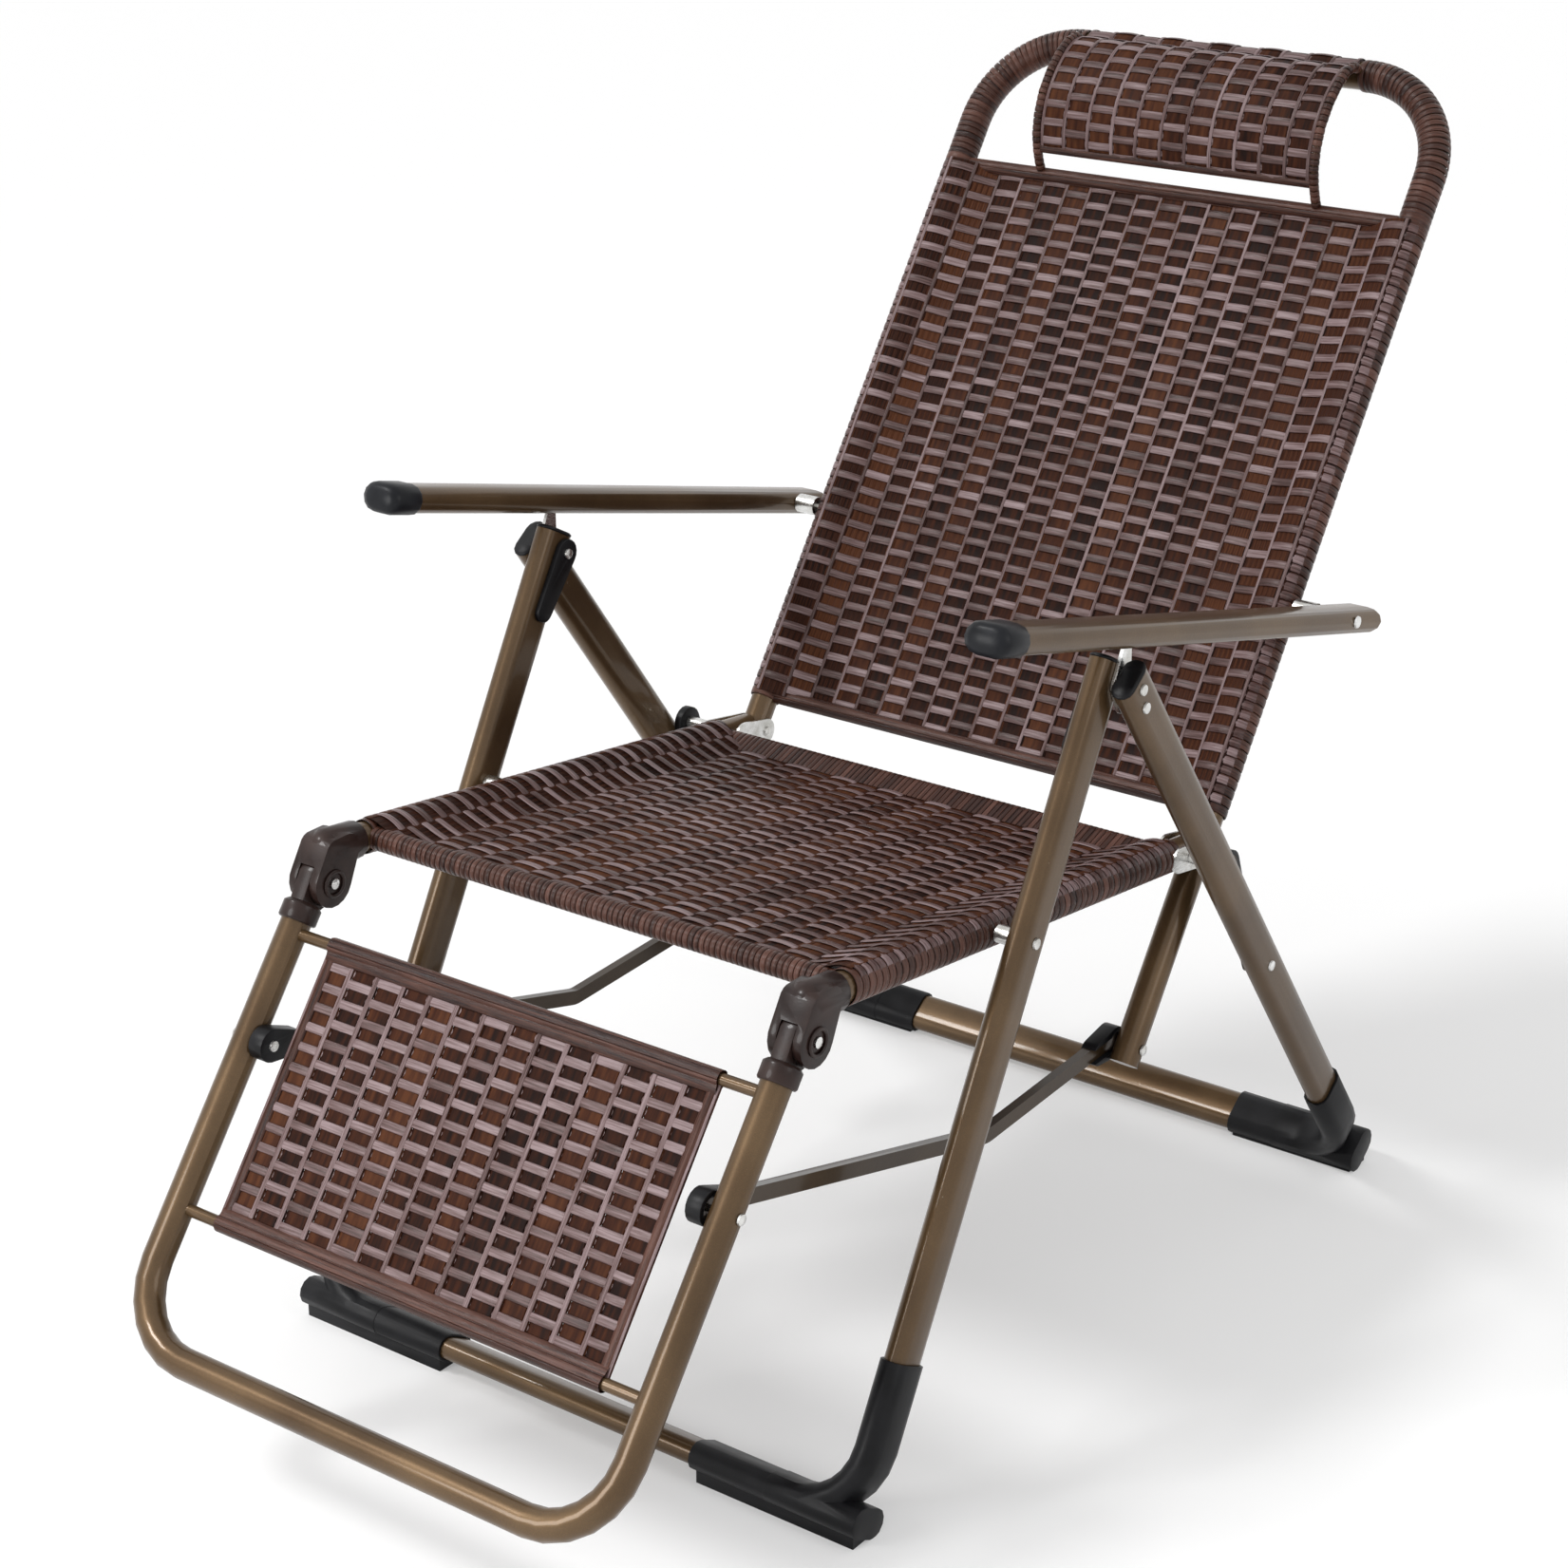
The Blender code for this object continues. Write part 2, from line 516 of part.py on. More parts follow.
for label, side in (("left", 1), ("right", -1)):
    bore(seat_frame, SEAT_PIVOT, TUBE_X - 0.001, TUBE_OUT + 0.01, side)
    bore(seat_weave, SEAT_PIVOT, TUBE_X - 0.001, WRAP_OUT + 0.01, side)
    bore(seat_frame, KNUCKLE, TUBE_IN - 0.02, TUBE_OUT + 0.02, side)
    bore(seat_frame, STAY_TOP, TUBE_X - 0.001, TUBE_OUT + 0.01, side)

    # Seat half of the knuckle: a socket on the tube end and two cheeks
    nose = seat_yz(-0.2340)
    knuckle = make("seat", "knuckle_seat_" + label, KNUCKLE_PLASTIC,
                   sweep([seat_point(d, TUBE_X) for d in (-0.2430, -0.2400, -0.2330, -0.1985, -0.1965)],
                         (SOCKET_R, 6), AXIS, [0.45, 0.72, 1, 1, 0.93]), side)
    fuse(knuckle, prism(hull((KNUCKLE, KNUCKLE_R), (seat_yz(-0.2200), 0.0130), (nose, 0.0110)),
                        TUBE_X - KNUCKLE_HALF, TUBE_X + KNUCKLE_HALF), side)
    slot_half = KNUCKLE_HALF - CHEEK
    cut(knuckle, prism(circle(KNUCKLE, KNUCKLE_R + SLIDE, 24), TUBE_X - slot_half, TUBE_X + slot_half), side)
    swing_room = [(KNUCKLE[0] + a * KNUCKLE_R, KNUCKLE[1] + b * KNUCKLE_R)
                  for a, b in ((-2.5, -2.5), (0.6, -2.5), (0.6, 0), (-0.55, 0), (-0.62, 0.83), (-2.5, 0.83))]
    cut(knuckle, prism(swing_room, TUBE_X - slot_half, TUBE_X + slot_half), side)
    cut(knuckle, rod(seat_point(SEAT_START - FIT, TUBE_X), seat_point(0.0, TUBE_X), TUBE_R + FIT), side)
    bore(knuckle, KNUCKLE, TUBE_IN - 0.02, TUBE_OUT + 0.02, side)
    bolt("seat", "knuckle_bolt_" + label, KNUCKLE,
         head(TUBE_X - KNUCKLE_HALF - FIT, -1)[::-1]
         + [(TUBE_X - KNUCKLE_HALF - FIT, SHANK_R), (TUBE_X + KNUCKLE_HALF + FIT, SHANK_R)]
         + head(TUBE_X + KNUCKLE_HALF + FIT, 1), side)

    # Hinge: two plates on the seat tube's end, held by the pin that carries the back
    plate_out = hull((BACK_PIVOT, 0.0120), (seat_yz(SEAT_END - 0.035), 0.0115))
    outer_x0, outer_x1 = TUBE_OUT + FIT, TUBE_OUT + FIT + HINGE_PLATE
    inner_x0, inner_x1 = TUBE_IN - FIT - HINGE_PLATE, TUBE_IN - FIT
    hinge = make("seat", "seat_hinge_" + label, ZINC, prism(plate_out, outer_x0, outer_x1), side)
    plate_in = hull((BACK_PIVOT, 0.0120), (seat_yz(SEAT_END - 0.012), 0.0115))
    fuse(hinge, prism(plate_in, inner_x0, inner_x1), side)
    fuse(hinge, turned(head(inner_x0 + 0.0003, -1)[::-1]
                       + [(inner_x0 + 0.0003, SHANK_R), (outer_x1 - 0.0003, SHANK_R)]
                       + head(outer_x1 - 0.0003, 1), BACK_PIVOT, 12), side)
    bore(hinge, STAY_TOP, outer_x0 - 0.001, outer_x1 + 0.01, side)
    cap_x0 = PLATE_X0 - 0.0038
    bolt("seat", "stay_top_bolt_" + label, STAY_TOP,
         [(TUBE_X, SHANK_R), (outer_x1 + FIT, SHANK_R), (outer_x1 + FIT, 0.0060), (cap_x0 - FIT, 0.0060),
          (cap_x0 - FIT, SHANK_R), (PLATE_X1 - 0.0001, SHANK_R)], side)

    # Stay between the seat's rear end and the rear leg
    bar = make("stay_" + label, "stay_bar_" + label, PAINT,
               prism(hull((STAY_TOP, 0.0105), (STAY_FOOT, 0.0105)), PLATE_X0, PLATE_X1), side)
    bore(bar, STAY_TOP, PLATE_X0 - 0.01, PLATE_X1 + 0.01, side)
    fuse(bar, turned(head(PLATE_X0 + 0.0004, -1, 0.0062, 0.0024)[::-1] + [(PLATE_X0 + 0.0006, 0.0062)],
                     STAY_FOOT, 12), side)
    stay_dir = unit(STAY_TOP, STAY_FOOT)
    cap = make("stay_" + label, "stay_cap_" + label, BLACK_PLASTIC,
               prism(hull((STAY_TOP, 0.0145), (along(STAY_TOP, stay_dir, 0.022), 0.0135)), cap_x0, PLATE_X1), side)
    pocket = hull((STAY_TOP, 0.0105 + FIT), (along(STAY_TOP, stay_dir, 0.08), 0.0105 + FIT))
    cut(cap, prism(pocket, PLATE_X0 - FIT, PLATE_X1 + 0.01), side)
    bore(cap, STAY_TOP, cap_x0 - 0.01, PLATE_X1 + 0.01, side)


# Back
def back_yz(distance, up=0.0):
    return along(BACK_PIVOT, BACK_DIR, distance, up)


back_up = vec(BACK_DIR).cross(AXIS)
back_path = rounded([vec(back_yz(BACK_START), -TUBE_X), vec(back_yz(BACK_TOP), -TUBE_X),
                     vec(back_yz(BACK_TOP), TUBE_X), vec(back_yz(BACK_START), TUBE_X)], BACK_BEND, 7)
back_frame = make("back", "back_frame", PAINT, sweep(back_path, (TUBE_R, 6), back_up))
for place in (BACK_ROD_LOW, BACK_ROD_HIGH):
    fuse(back_frame, turned([(-TUBE_X, ROD_R), (TUBE_X, ROD_R)], back_yz(place), 14))

back_weave = make("back", "back_weave", WICKER,
                  sweep([vec(back_yz(BACK_ROD_LOW)), vec(back_yz(BACK_ROD_HIGH))],
                        rectangle(WEAVE_SLAB, 2 * TUBE_X), AXIS))
for place in (BACK_ROD_LOW, BACK_ROD_HIGH):
    wrap = ROD_R + FIT + WEAVE_WRAP
    fuse(back_weave, turned([(-TUBE_X + 0.004, wrap), (TUBE_X - 0.004, wrap)], back_yz(place), 14))
top_corner = vec(back_yz(BACK_TOP), TUBE_X)
wound = rounded([vec(back_yz(BACK_ROD_LOW - 0.007), TUBE_X), top_corner, vec(back_yz(BACK_TOP), LOOP_WRAP_END)],
                BACK_BEND, 7)
held_tube = rounded([vec(back_yz(BACK_START), TUBE_X), top_corner, vec(back_yz(BACK_TOP))], BACK_BEND, 7)
for side in (1, -1):
    fuse(back_weave, sweep(wound, (WRAP_R, 6), back_up), side)
    cut(back_weave, sweep(held_tube, (TUBE_R + FIT, 6), back_up), side)
for place in (BACK_ROD_LOW, BACK_ROD_HIGH):
    cut(back_weave, turned([(-TUBE_X - 0.005, ROD_R + FIT), (TUBE_X + 0.005, ROD_R + FIT)], back_yz(place), 14))

# Headrest: a band from the top rail, bulging forward, down towards the upper rod
HEAD_SHAPE = [(0.0, 0.0145), (0.028, 0.0260), (0.110, 0.0365), (0.228, 0.0430), (0.377, 0.0470),
              (0.540, 0.0470), (0.688, 0.0415), (0.807, 0.0330), (0.896, 0.0215)]
HEAD_THICK = 0.0075


def below_top(share):
    """The distance along the back of a point this share of the way from the top rail to the upper rod."""
    return BACK_TOP + share * (BACK_ROD_HIGH - BACK_TOP)


HEAD_LINE = [(below_top(share), out) for share, out in HEAD_SHAPE]


def band(points, thick):
    """A side-plane outline of this thickness along a line of (along the back, out from it)."""
    line = [back_yz(a, b) for a, b in points]
    left, right = [], []
    for i, point in enumerate(line):
        before, after = line[max(i - 1, 0)], line[min(i + 1, len(line) - 1)]
        way = unit(before, after)
        left.append(along(point, way, 0, thick / 2))
        right.append(along(point, way, 0, -thick / 2))
    return left + right[::-1]


headrest = make("back", "headrest_weave", WICKER, prism(band(HEAD_LINE, HEAD_THICK), -HEAD_HALF, HEAD_HALF))
fuse(headrest, turned([(-HEAD_HALF, WRAP_R + 0.0005), (HEAD_HALF, WRAP_R + 0.0005)], back_yz(BACK_TOP), 24))
cut(headrest, turned([(-0.2, TUBE_R + FIT), (0.2, TUBE_R + FIT)], back_yz(BACK_TOP), 24))
wire_line = [(BACK_TOP, 0.004)] + HEAD_LINE[1:] + [(below_top(0.955), 0.0110), (BACK_ROD_HIGH, 0.0)]
for side in (1, -1):
    path = [vec(back_yz(a, b), HEAD_WIRE_X) for a, b in wire_line]
    fuse(back_frame, sweep(path, (WIRE_R, 2), AXIS), side)
    cut(back_weave, sweep(path[-3:], (WIRE_R + 2 * FIT, 3), AXIS), side)

for label, side in (("left", 1), ("right", -1)):
    bore(back_frame, BACK_PIVOT, TUBE_IN - 0.01, TUBE_OUT + 0.01, side)
    bore(back_frame, ARM_PIVOT, TUBE_IN + 0.0035, TUBE_OUT + 0.01, side)
    bore(back_weave, ARM_PIVOT, TUBE_X, WRAP_OUT + 0.01, side)
    bore(back_frame, LEVER, TUBE_IN - 0.01, TUBE_OUT + 0.01, side)
    bolt("back", "lever_bolt_" + label, LEVER,
         [(TUBE_IN + 0.0002, SHANK_R), (TUBE_OUT + FIT, SHANK_R)] + head(TUBE_OUT + FIT, 1), side)
    bolt("back", "arm_pivot_bolt_" + label, ARM_PIVOT,
         [(TUBE_IN + 0.004, SHANK_R), (WRAP_OUT + FIT, SHANK_R), (WRAP_OUT + FIT, 0.0090),
            (ARM_X - ARM_WIDE / 2 - FIT, 0.0090), (ARM_X - ARM_WIDE / 2 - FIT, SHANK_R),
            (ARM_X + ARM_WIDE / 2 + FIT, SHANK_R)] + head(ARM_X + ARM_WIDE / 2 + FIT, 1, 0.0055, 0.0020), side)

# Arms
arm_dir = unit(ARM_REAR, ARM_TIP)
ARM_LONG = math.dist(ARM_REAR, ARM_TIP)
TUBE_LONG = ARM_LONG - 0.010


def arm_yz(distance, up=0.0):
    return along(ARM_REAR, arm_dir, distance, -up)


GROOVE_START, GROOVE_END, GROOVE_DEEP = 0.335, 0.560, 0.0185
GROOVE_HALF = PLATE / 2 + SLIDE + 0.0003
GROOVE_X = (PLATE_X0 + PLATE_X1) / 2
RACK_HIGH = 0.0036

for label, side in (("left", 1), ("right", -1)):
    arm = make("arm_" + label, "arm_tube_" + label, PAINT,
               sweep([vec(ARM_REAR, ARM_X), vec(arm_yz(TUBE_LONG), ARM_X)],
                     flat_oval(ARM_HIGH, ARM_WIDE), AXIS), side)
    round_end = hull((arm_yz(ARM_HIGH / 2), ARM_HIGH / 2), (arm_yz(TUBE_LONG), ARM_HIGH), count=32)
    keep(arm, prism(round_end, ARM_X - ARM_WIDE, ARM_X + ARM_WIDE), side)
    under = -ARM_HIGH / 2
    groove = [arm_yz(GROOVE_START, under - 0.01), arm_yz(GROOVE_END, under - 0.01),
              arm_yz(GROOVE_END, under + GROOVE_DEEP), arm_yz(GROOVE_START, under + GROOVE_DEEP)]
    cut(arm, prism(groove, GROOVE_X - GROOVE_HALF, GROOVE_X + GROOVE_HALF), side)
    bore(arm, ARM_PIVOT, ARM_X - ARM_WIDE / 2 - 0.01, ARM_X + ARM_WIDE / 2 + 0.01, side)

    # Notched strip at the top of the groove, over the bracket's tongue
    top, low = under + GROOVE_DEEP - FIT, under + GROOVE_DEEP - FIT - RACK_HIGH
    teeth = [arm_yz(GROOVE_END - FIT, top), arm_yz(GROOVE_START + FIT, top), arm_yz(GROOVE_START + FIT, low)]
    count = 9
    pitch = (GROOVE_END - GROOVE_START - 0.02) / count
    for i in range(count):
        start = GROOVE_START + 0.010 + i * pitch
        teeth += [arm_yz(start, low), arm_yz(start + 0.3 * pitch, low + 0.0016),
                  arm_yz(start + 0.7 * pitch, low + 0.0016), arm_yz(start + pitch - 0.0001, low)]
    teeth.append(arm_yz(GROOVE_END - FIT, low))
    make("arm_" + label, "arm_rack_" + label, BLACK_PLASTIC,
         prism(teeth, GROOVE_X - GROOVE_HALF + FIT, GROOVE_X + GROOVE_HALF - FIT), side)

    # Rubber tip
    start = ARM_LONG - ARM_CAP_LONG
    rings = [vec(arm_yz(d), ARM_X) for d in (start, start + 0.002, ARM_LONG - 0.008, ARM_LONG - 0.003, ARM_LONG)]
    scales = [0.96, 1, 1, 0.9, 0.62]
    section = flat_oval(ARM_HIGH + 0.0030, ARM_WIDE + 0.0030)
    tip = make("arm_" + label, "arm_cap_" + label, BLACK_RUBBER, sweep(rings, section, AXIS, scales), side)
    cut(tip, sweep([vec(arm_yz(start - 0.01), ARM_X), vec(arm_yz(TUBE_LONG + FIT), ARM_X)],
                   flat_oval(ARM_HIGH + 2 * FIT, ARM_WIDE + 2 * FIT), AXIS), side)


# Footrest
def foot_yz(distance, up=0.0):
    return along(FOOT_LINE, FOOT_DIR, distance, -up)


foot_path = rounded([vec(foot_yz(FOOT_START), -TUBE_X), vec(foot_yz(FOOT_END), -TUBE_X),
                     vec(foot_yz(FOOT_END), TUBE_X), vec(foot_yz(FOOT_START), TUBE_X)], FOOT_BEND, 6)
foot_frame = make("footrest", "footrest_frame", PAINT,
                  sweep(foot_path, (TUBE_R, 6), vec(FOOT_DIR).cross(AXIS)))
for place in (FOOT_ROD_HIGH, FOOT_ROD_LOW):
    fuse(foot_frame, turned([(-TUBE_X, ROD_R), (TUBE_X, ROD_R)], foot_yz(place), 14))
foot_weave = make("footrest", "footrest_weave", WICKER,
                  sweep([vec(foot_yz(FOOT_ROD_HIGH)), vec(foot_yz(FOOT_ROD_LOW))],
                        rectangle(WEAVE_SLAB, 2 * FOOT_PANEL), AXIS))
for place in (FOOT_ROD_HIGH, FOOT_ROD_LOW):
    wrap = ROD_R + FIT + WEAVE_WRAP
    fuse(foot_weave, turned([(-FOOT_PANEL - 0.0006, wrap), (FOOT_PANEL + 0.0006, wrap)], foot_yz(place), 16))
for place in (FOOT_ROD_HIGH, FOOT_ROD_LOW):
    cut(foot_weave, turned([(-TUBE_X, ROD_R + FIT), (TUBE_X, ROD_R + FIT)], foot_yz(place), 14))

for label, side in (("left", 1), ("right", -1)):
    bore(foot_frame, FOOT_LINK, TUBE_IN - 0.01, TUBE_OUT + 0.01, side)

    # Footrest half of the knuckle: a tongue between the cheeks and a socket on the tube
    tongue_half = KNUCKLE_HALF - CHEEK - SLIDE
    socket = make("footrest", "knuckle_foot_" + label, KNUCKLE_PLASTIC,
                  sweep([vec(foot_yz(d), TUBE_X) for d in (0.0224, 0.0252, 0.0375, 0.0390)],
                        (SOCKET_R, 6), AXIS, [0.80, 1, 1, 0.93]), side)
    fuse(socket, prism(hull((KNUCKLE, KNUCKLE_R - 0.0005), (foot_yz(0.0240), 0.0100)),
                       TUBE_X - tongue_half, TUBE_X + tongue_half), side)
    cut(socket, rod(vec(foot_yz(FOOT_START - FIT), TUBE_X), vec(foot_yz(0.12), TUBE_X), TUBE_R + FIT), side)
    bore(socket, KNUCKLE, TUBE_IN, TUBE_OUT, side)

    # Side link: footrest to the back's lower end
    path = rounded([vec(FOOT_LINK, (LINK_X0 + LINK_X1) / 2), vec(LINK_BEND, (LINK_X0 + LINK_X1) / 2),
                    vec(LEVER, (LINK_X0 + LINK_X1) / 2)], 0.030, 5)
    link = make("link_" + label, "link_bar_" + label, PAINT,
                sweep(path, rectangle(0.013, LINK_X1 - LINK_X0), AXIS), side)
    for centre, toward, tag in ((FOOT_LINK, LINK_BEND, "front"), (LEVER, LINK_BEND, "rear")):
        way = unit(centre, toward)
        fuse(link, prism(circle(centre, 0.0090, 16), LINK_X0 + 0.0002, LINK_X1 - 0.0002), side)
        cap = make("link_" + label, f"link_cap_{tag}_{label}", BLACK_PLASTIC,
                   prism(hull((centre, 0.0140), (along(centre, way, 0.026), 0.0105)), LINK_CAP_X0, LINK_CAP_X1), side)
        room = hull((centre, 0.0090 + FIT), (along(centre, way, 0.0005), 0.0090 + FIT))
        cut(cap, prism(room, LINK_X0 - FIT, LINK_CAP_X1 + 0.01), side)
        cut(cap, sweep([vec(centre, (LINK_X0 + LINK_CAP_X1 + 0.01) / 2),
                        vec(along(centre, way, 0.08), (LINK_X0 + LINK_CAP_X1 + 0.01) / 2)],
                       rectangle(0.013 + 2 * FIT, LINK_CAP_X1 + 0.01 - LINK_X0 + 2 * FIT), AXIS), side)
        if tag == "front":
            bore(cap, centre, LINK_CAP_X0 - 0.01, LINK_CAP_X1 + 0.01, side)
            bore(link, centre, LINK_X0 - 0.01, LINK_X1 + 0.01, side)
    bolt("footrest", "foot_link_bolt_" + label, FOOT_LINK,
         head(LINK_CAP_X0 - FIT, -1)[::-1] + [(LINK_CAP_X0 - FIT, SHANK_R), (TUBE_OUT + FIT, SHANK_R)]
         + head(TUBE_OUT + FIT, 1), side)

# The origin goes to the middle of the underside
bpy.context.view_layer.update()
graph = bpy.context.evaluated_depsgraph_get()
reach = []
for obj in CHAIR.objects:
    if obj.type == "MESH":
        shape = obj.evaluated_get(graph)
        reach += [(shape.matrix_world @ Vector(corner)).y for corner in shape.bound_box]
middle = (min(reach) + max(reach)) / 2
BODIES["front_legs"][0].location.y -= middle
bpy.context.view_layer.update()
print(f"moved by {-middle:.6f} along Y")
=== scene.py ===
"""A reclining garden chair, dressed on the CAD frame.

Woven and wound resin strands take the place of the four soft panels. The bronze tubes, moulded
knuckles, caps, rubber feet and zinc bolts are the solids of the frame, with rounder edges.
"""

import json
import math

import bpy
import numpy as np
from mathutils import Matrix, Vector


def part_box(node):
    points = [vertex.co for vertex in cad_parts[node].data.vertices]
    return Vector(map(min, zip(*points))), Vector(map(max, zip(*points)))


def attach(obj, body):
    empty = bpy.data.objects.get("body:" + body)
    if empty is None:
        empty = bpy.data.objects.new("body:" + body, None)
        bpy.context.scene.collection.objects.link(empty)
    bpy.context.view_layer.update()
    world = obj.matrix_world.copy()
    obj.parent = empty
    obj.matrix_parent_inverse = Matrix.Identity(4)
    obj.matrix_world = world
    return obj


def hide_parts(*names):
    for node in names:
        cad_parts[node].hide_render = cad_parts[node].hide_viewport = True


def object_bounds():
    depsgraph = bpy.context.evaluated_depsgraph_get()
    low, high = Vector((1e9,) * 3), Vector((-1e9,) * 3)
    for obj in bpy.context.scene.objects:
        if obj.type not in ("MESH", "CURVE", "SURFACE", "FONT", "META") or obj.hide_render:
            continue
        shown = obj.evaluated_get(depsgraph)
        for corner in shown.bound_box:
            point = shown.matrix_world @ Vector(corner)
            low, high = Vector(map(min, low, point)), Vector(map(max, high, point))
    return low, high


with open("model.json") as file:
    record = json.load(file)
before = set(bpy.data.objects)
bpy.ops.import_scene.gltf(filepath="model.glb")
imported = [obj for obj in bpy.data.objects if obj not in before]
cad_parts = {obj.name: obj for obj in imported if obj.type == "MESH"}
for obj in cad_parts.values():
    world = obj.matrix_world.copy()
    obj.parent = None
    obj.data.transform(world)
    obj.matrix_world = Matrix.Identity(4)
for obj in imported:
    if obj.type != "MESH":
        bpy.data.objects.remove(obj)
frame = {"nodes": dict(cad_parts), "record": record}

CAD_LOW, CAD_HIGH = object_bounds()
RANDOM = np.random.default_rng(7)
X = np.array([1.0, 0.0, 0.0])

# Sizes of the chair, in metres, as the CAD has them. Y and Z are those of its drawing.
TUBE_X, TUBE_R = 0.240, 0.0127
RAIL_R, ROD_R, WIRE_R = 0.008, 0.005, 0.003
SEAT_PIVOT_Y, SEAT_HEIGHT = 0.2050, 0.4205
SEAT_DIR = np.array([0.0, 0.99311, -0.11719])
SEAT_FRONT, SEAT_REAR = -0.1830, 0.2830
BACK_HINGE_Y, BACK_HINGE_Z = 0.5450, 0.3775
BACK_DIR = np.array([0.0, 0.56640, 0.82413])
BACK_LOW, BACK_HIGH, BACK_TOP, BACK_BEND = 0.0350, 0.5840, 0.7188, 0.090
KNUCKLE_Y, KNUCKLE_Z = -0.0380, 0.4270
FOOT_DIR = np.array([0.0, 0.6, 0.8])
FOOT_HIGH, FOOT_LOW, FOOT_HALF = 0.0480, 0.2810, 0.195
HEAD_HALF, HEAD_WIRE_X = 0.1422, 0.1458
TUBE_COLUMNS, FOOT_COLUMNS, HEAD_COLUMNS = 19, 14, 11
INNER = TUBE_X + 0.001

# The weave: rows of narrow strands across, over and under wide columns
ROW = 0.0085
ROW_WIDE = 0.0074
COLUMN_WIDE = 0.0222
STRAND = 0.0011
RISE = 0.0013
WARP_RISE = 0.0002
COLUMN_SINK = 0.0002
WAVE_FLATNESS = 0.55
COLUMN_THICK = STRAND * 0.8
ROW_STEP = 0.0034
END_GAP = 0.003
SIDE_GAP = 0.002
FADE_PAST, FADE_REACH = 0.004, 0.006
SLOPE_REACH = 0.050
SLOPE_SLICES = 4
SLICE_OVERLAP = 0.0012

# Strips that close the gaps between columns, in the columns' finish with its painted shade, and
# light ones on top of them, in the rows' finish with its painted sheen
BACKING_WIDE, BACKING_THICK, BACKING_INSET = 0.0064, 0.0007, 0.0004
JOIN_WIDE, FOOT_JOIN_WIDE, HEAD_JOIN_WIDE = 0.0032, 0.0048, 0.0036
JOIN_THICK = JOIN_RISE = 0.0009

# Windings: on tubes, rails, wires and along the rods
WRAP = 0.0013
TUBE_TURN = np.linspace(0, 2 * math.pi, 28, endpoint=False)
WIRE_TURN = np.linspace(0, 2 * math.pi, 16, endpoint=False)
TUBE_LEAN, LOOP_LEAN = 0.0012, 0.0010
TUBE_SHARE, RAIL_SHARE = 0.94, 0.95
LOOP_PITCH, LOOP_WIDE = 0.0056, 0.0053
EDGE_PITCH = 0.0052
BOUND_WIDE = 0.014
ROD_STRIPS, ROD_STRIP_WIDE, ROD_STRIP_THICK = 6, 0.0068, 0.0016
FOLD_WIDE, FOLD_THICK = 0.0088, 0.0042
HEM_WIDE, HEM_ALONG, HEM_OUT, HEM_TILT = 0.0086, 0.0085, 0.0024, 0.35

# Random differences between strands: places in metres, the others as shares
ROW_SHIFT, COLUMN_SHIFT = 0.0003, 0.0004
ROW_SPREAD, COLUMN_SPREAD, RISE_SPREAD = 0.03, 0.02, 0.15
TINTS = 40


def middle(name):
    low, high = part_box(name)
    return (low + high) / 2


# The frame moves the drawing along Y, and this bolt shows how far
SHIFT = middle("seat_pivot_bolt_left").y - SEAT_PIVOT_Y
SEAT_POINT = np.array([0.0, SEAT_PIVOT_Y + SHIFT, SEAT_HEIGHT])
BACK_POINT = np.array([0.0, BACK_HINGE_Y + SHIFT, BACK_HINGE_Z])
FOOT_POINT = np.array([0.0, KNUCKLE_Y + SHIFT, KNUCKLE_Z])


# Materials
def material(name):
    made = bpy.data.materials.new(name)
    made.use_nodes = True
    tree = made.node_tree
    return made, tree, tree.nodes["Principled BSDF"]


def settings(target, **values):
    for key, value in values.items():
        target.inputs[key.replace("_", " ")].default_value = value


def node(tree, kind, **inputs):
    """A node with its sockets set: a (node, output) pair is linked, anything else is a value."""
    made = tree.nodes.new(kind)
    for key, value in inputs.items():
        if isinstance(value, tuple) and len(value) == 2 and hasattr(value[0], "outputs"):
            tree.links.new(value[0].outputs[value[1]], made.inputs[key.replace("_", " ")])
        else:
            settings(made, **{key: value})
    return made


def noise(tree, vector, scale, detail, **more):
    return node(tree, "ShaderNodeTexNoise", Vector=vector, Scale=scale, Detail=detail, **more)


def object_place(tree):
    return tree.nodes.new("ShaderNodeTexCoord"), "Object"


def ramp(tree, source, stops, output="Fac"):
    """A colour ramp: each stop is (place, colour) or (place, grey)."""
    made = tree.nodes.new("ShaderNodeValToRGB")
    tree.links.new(source.outputs[output], made.inputs["Fac"])
    elements = made.color_ramp.elements
    while len(elements) < len(stops):
        elements.new(0.5)
    for element, (place, colour) in zip(elements, stops):
        element.position = place
        element.color = (*colour, 1) if isinstance(colour, tuple) else (colour, colour, colour, 1)
    return made


def maths(tree, operation, first, second):
    made = tree.nodes.new("ShaderNodeMath")
    made.operation = operation
    for socket, value in zip(made.inputs, (first, second)):
        if isinstance(value, tuple):
            tree.links.new(value[0].outputs[value[1]], socket)
        else:
            socket.default_value = value
    return made


def mixed(tree, factor, first, second, kind="MIX"):
    """Two colours mixed. Its colour comes out of socket 2."""
    made = tree.nodes.new("ShaderNodeMix")
    made.data_type, made.blend_type = "RGBA", kind
    for index, value in ((0, factor), (6, first), (7, second)):
        socket = made.inputs[index]
        if isinstance(value, tuple) and hasattr(value[0], "outputs"):
            tree.links.new(value[0].outputs[value[1]], socket)
        else:
            socket.default_value = value if isinstance(value, float) else (*value, 1)
    return made


def coloured(tree, bsdf, source, output):
    tree.links.new(source.outputs[output], bsdf.inputs["Base Color"])


def roughened(tree, bsdf, source, *stops):
    shine = ramp(tree, source, stops)
    tree.links.new(shine.outputs["Color"], bsdf.inputs["Roughness"])


def bumped(tree, bsdf, height, strength, distance):
    made = node(tree, "ShaderNodeBump", Height=(height, "Fac"), Strength=strength,
                Distance=distance)
    tree.links.new(made.outputs["Normal"], bsdf.inputs["Normal"])


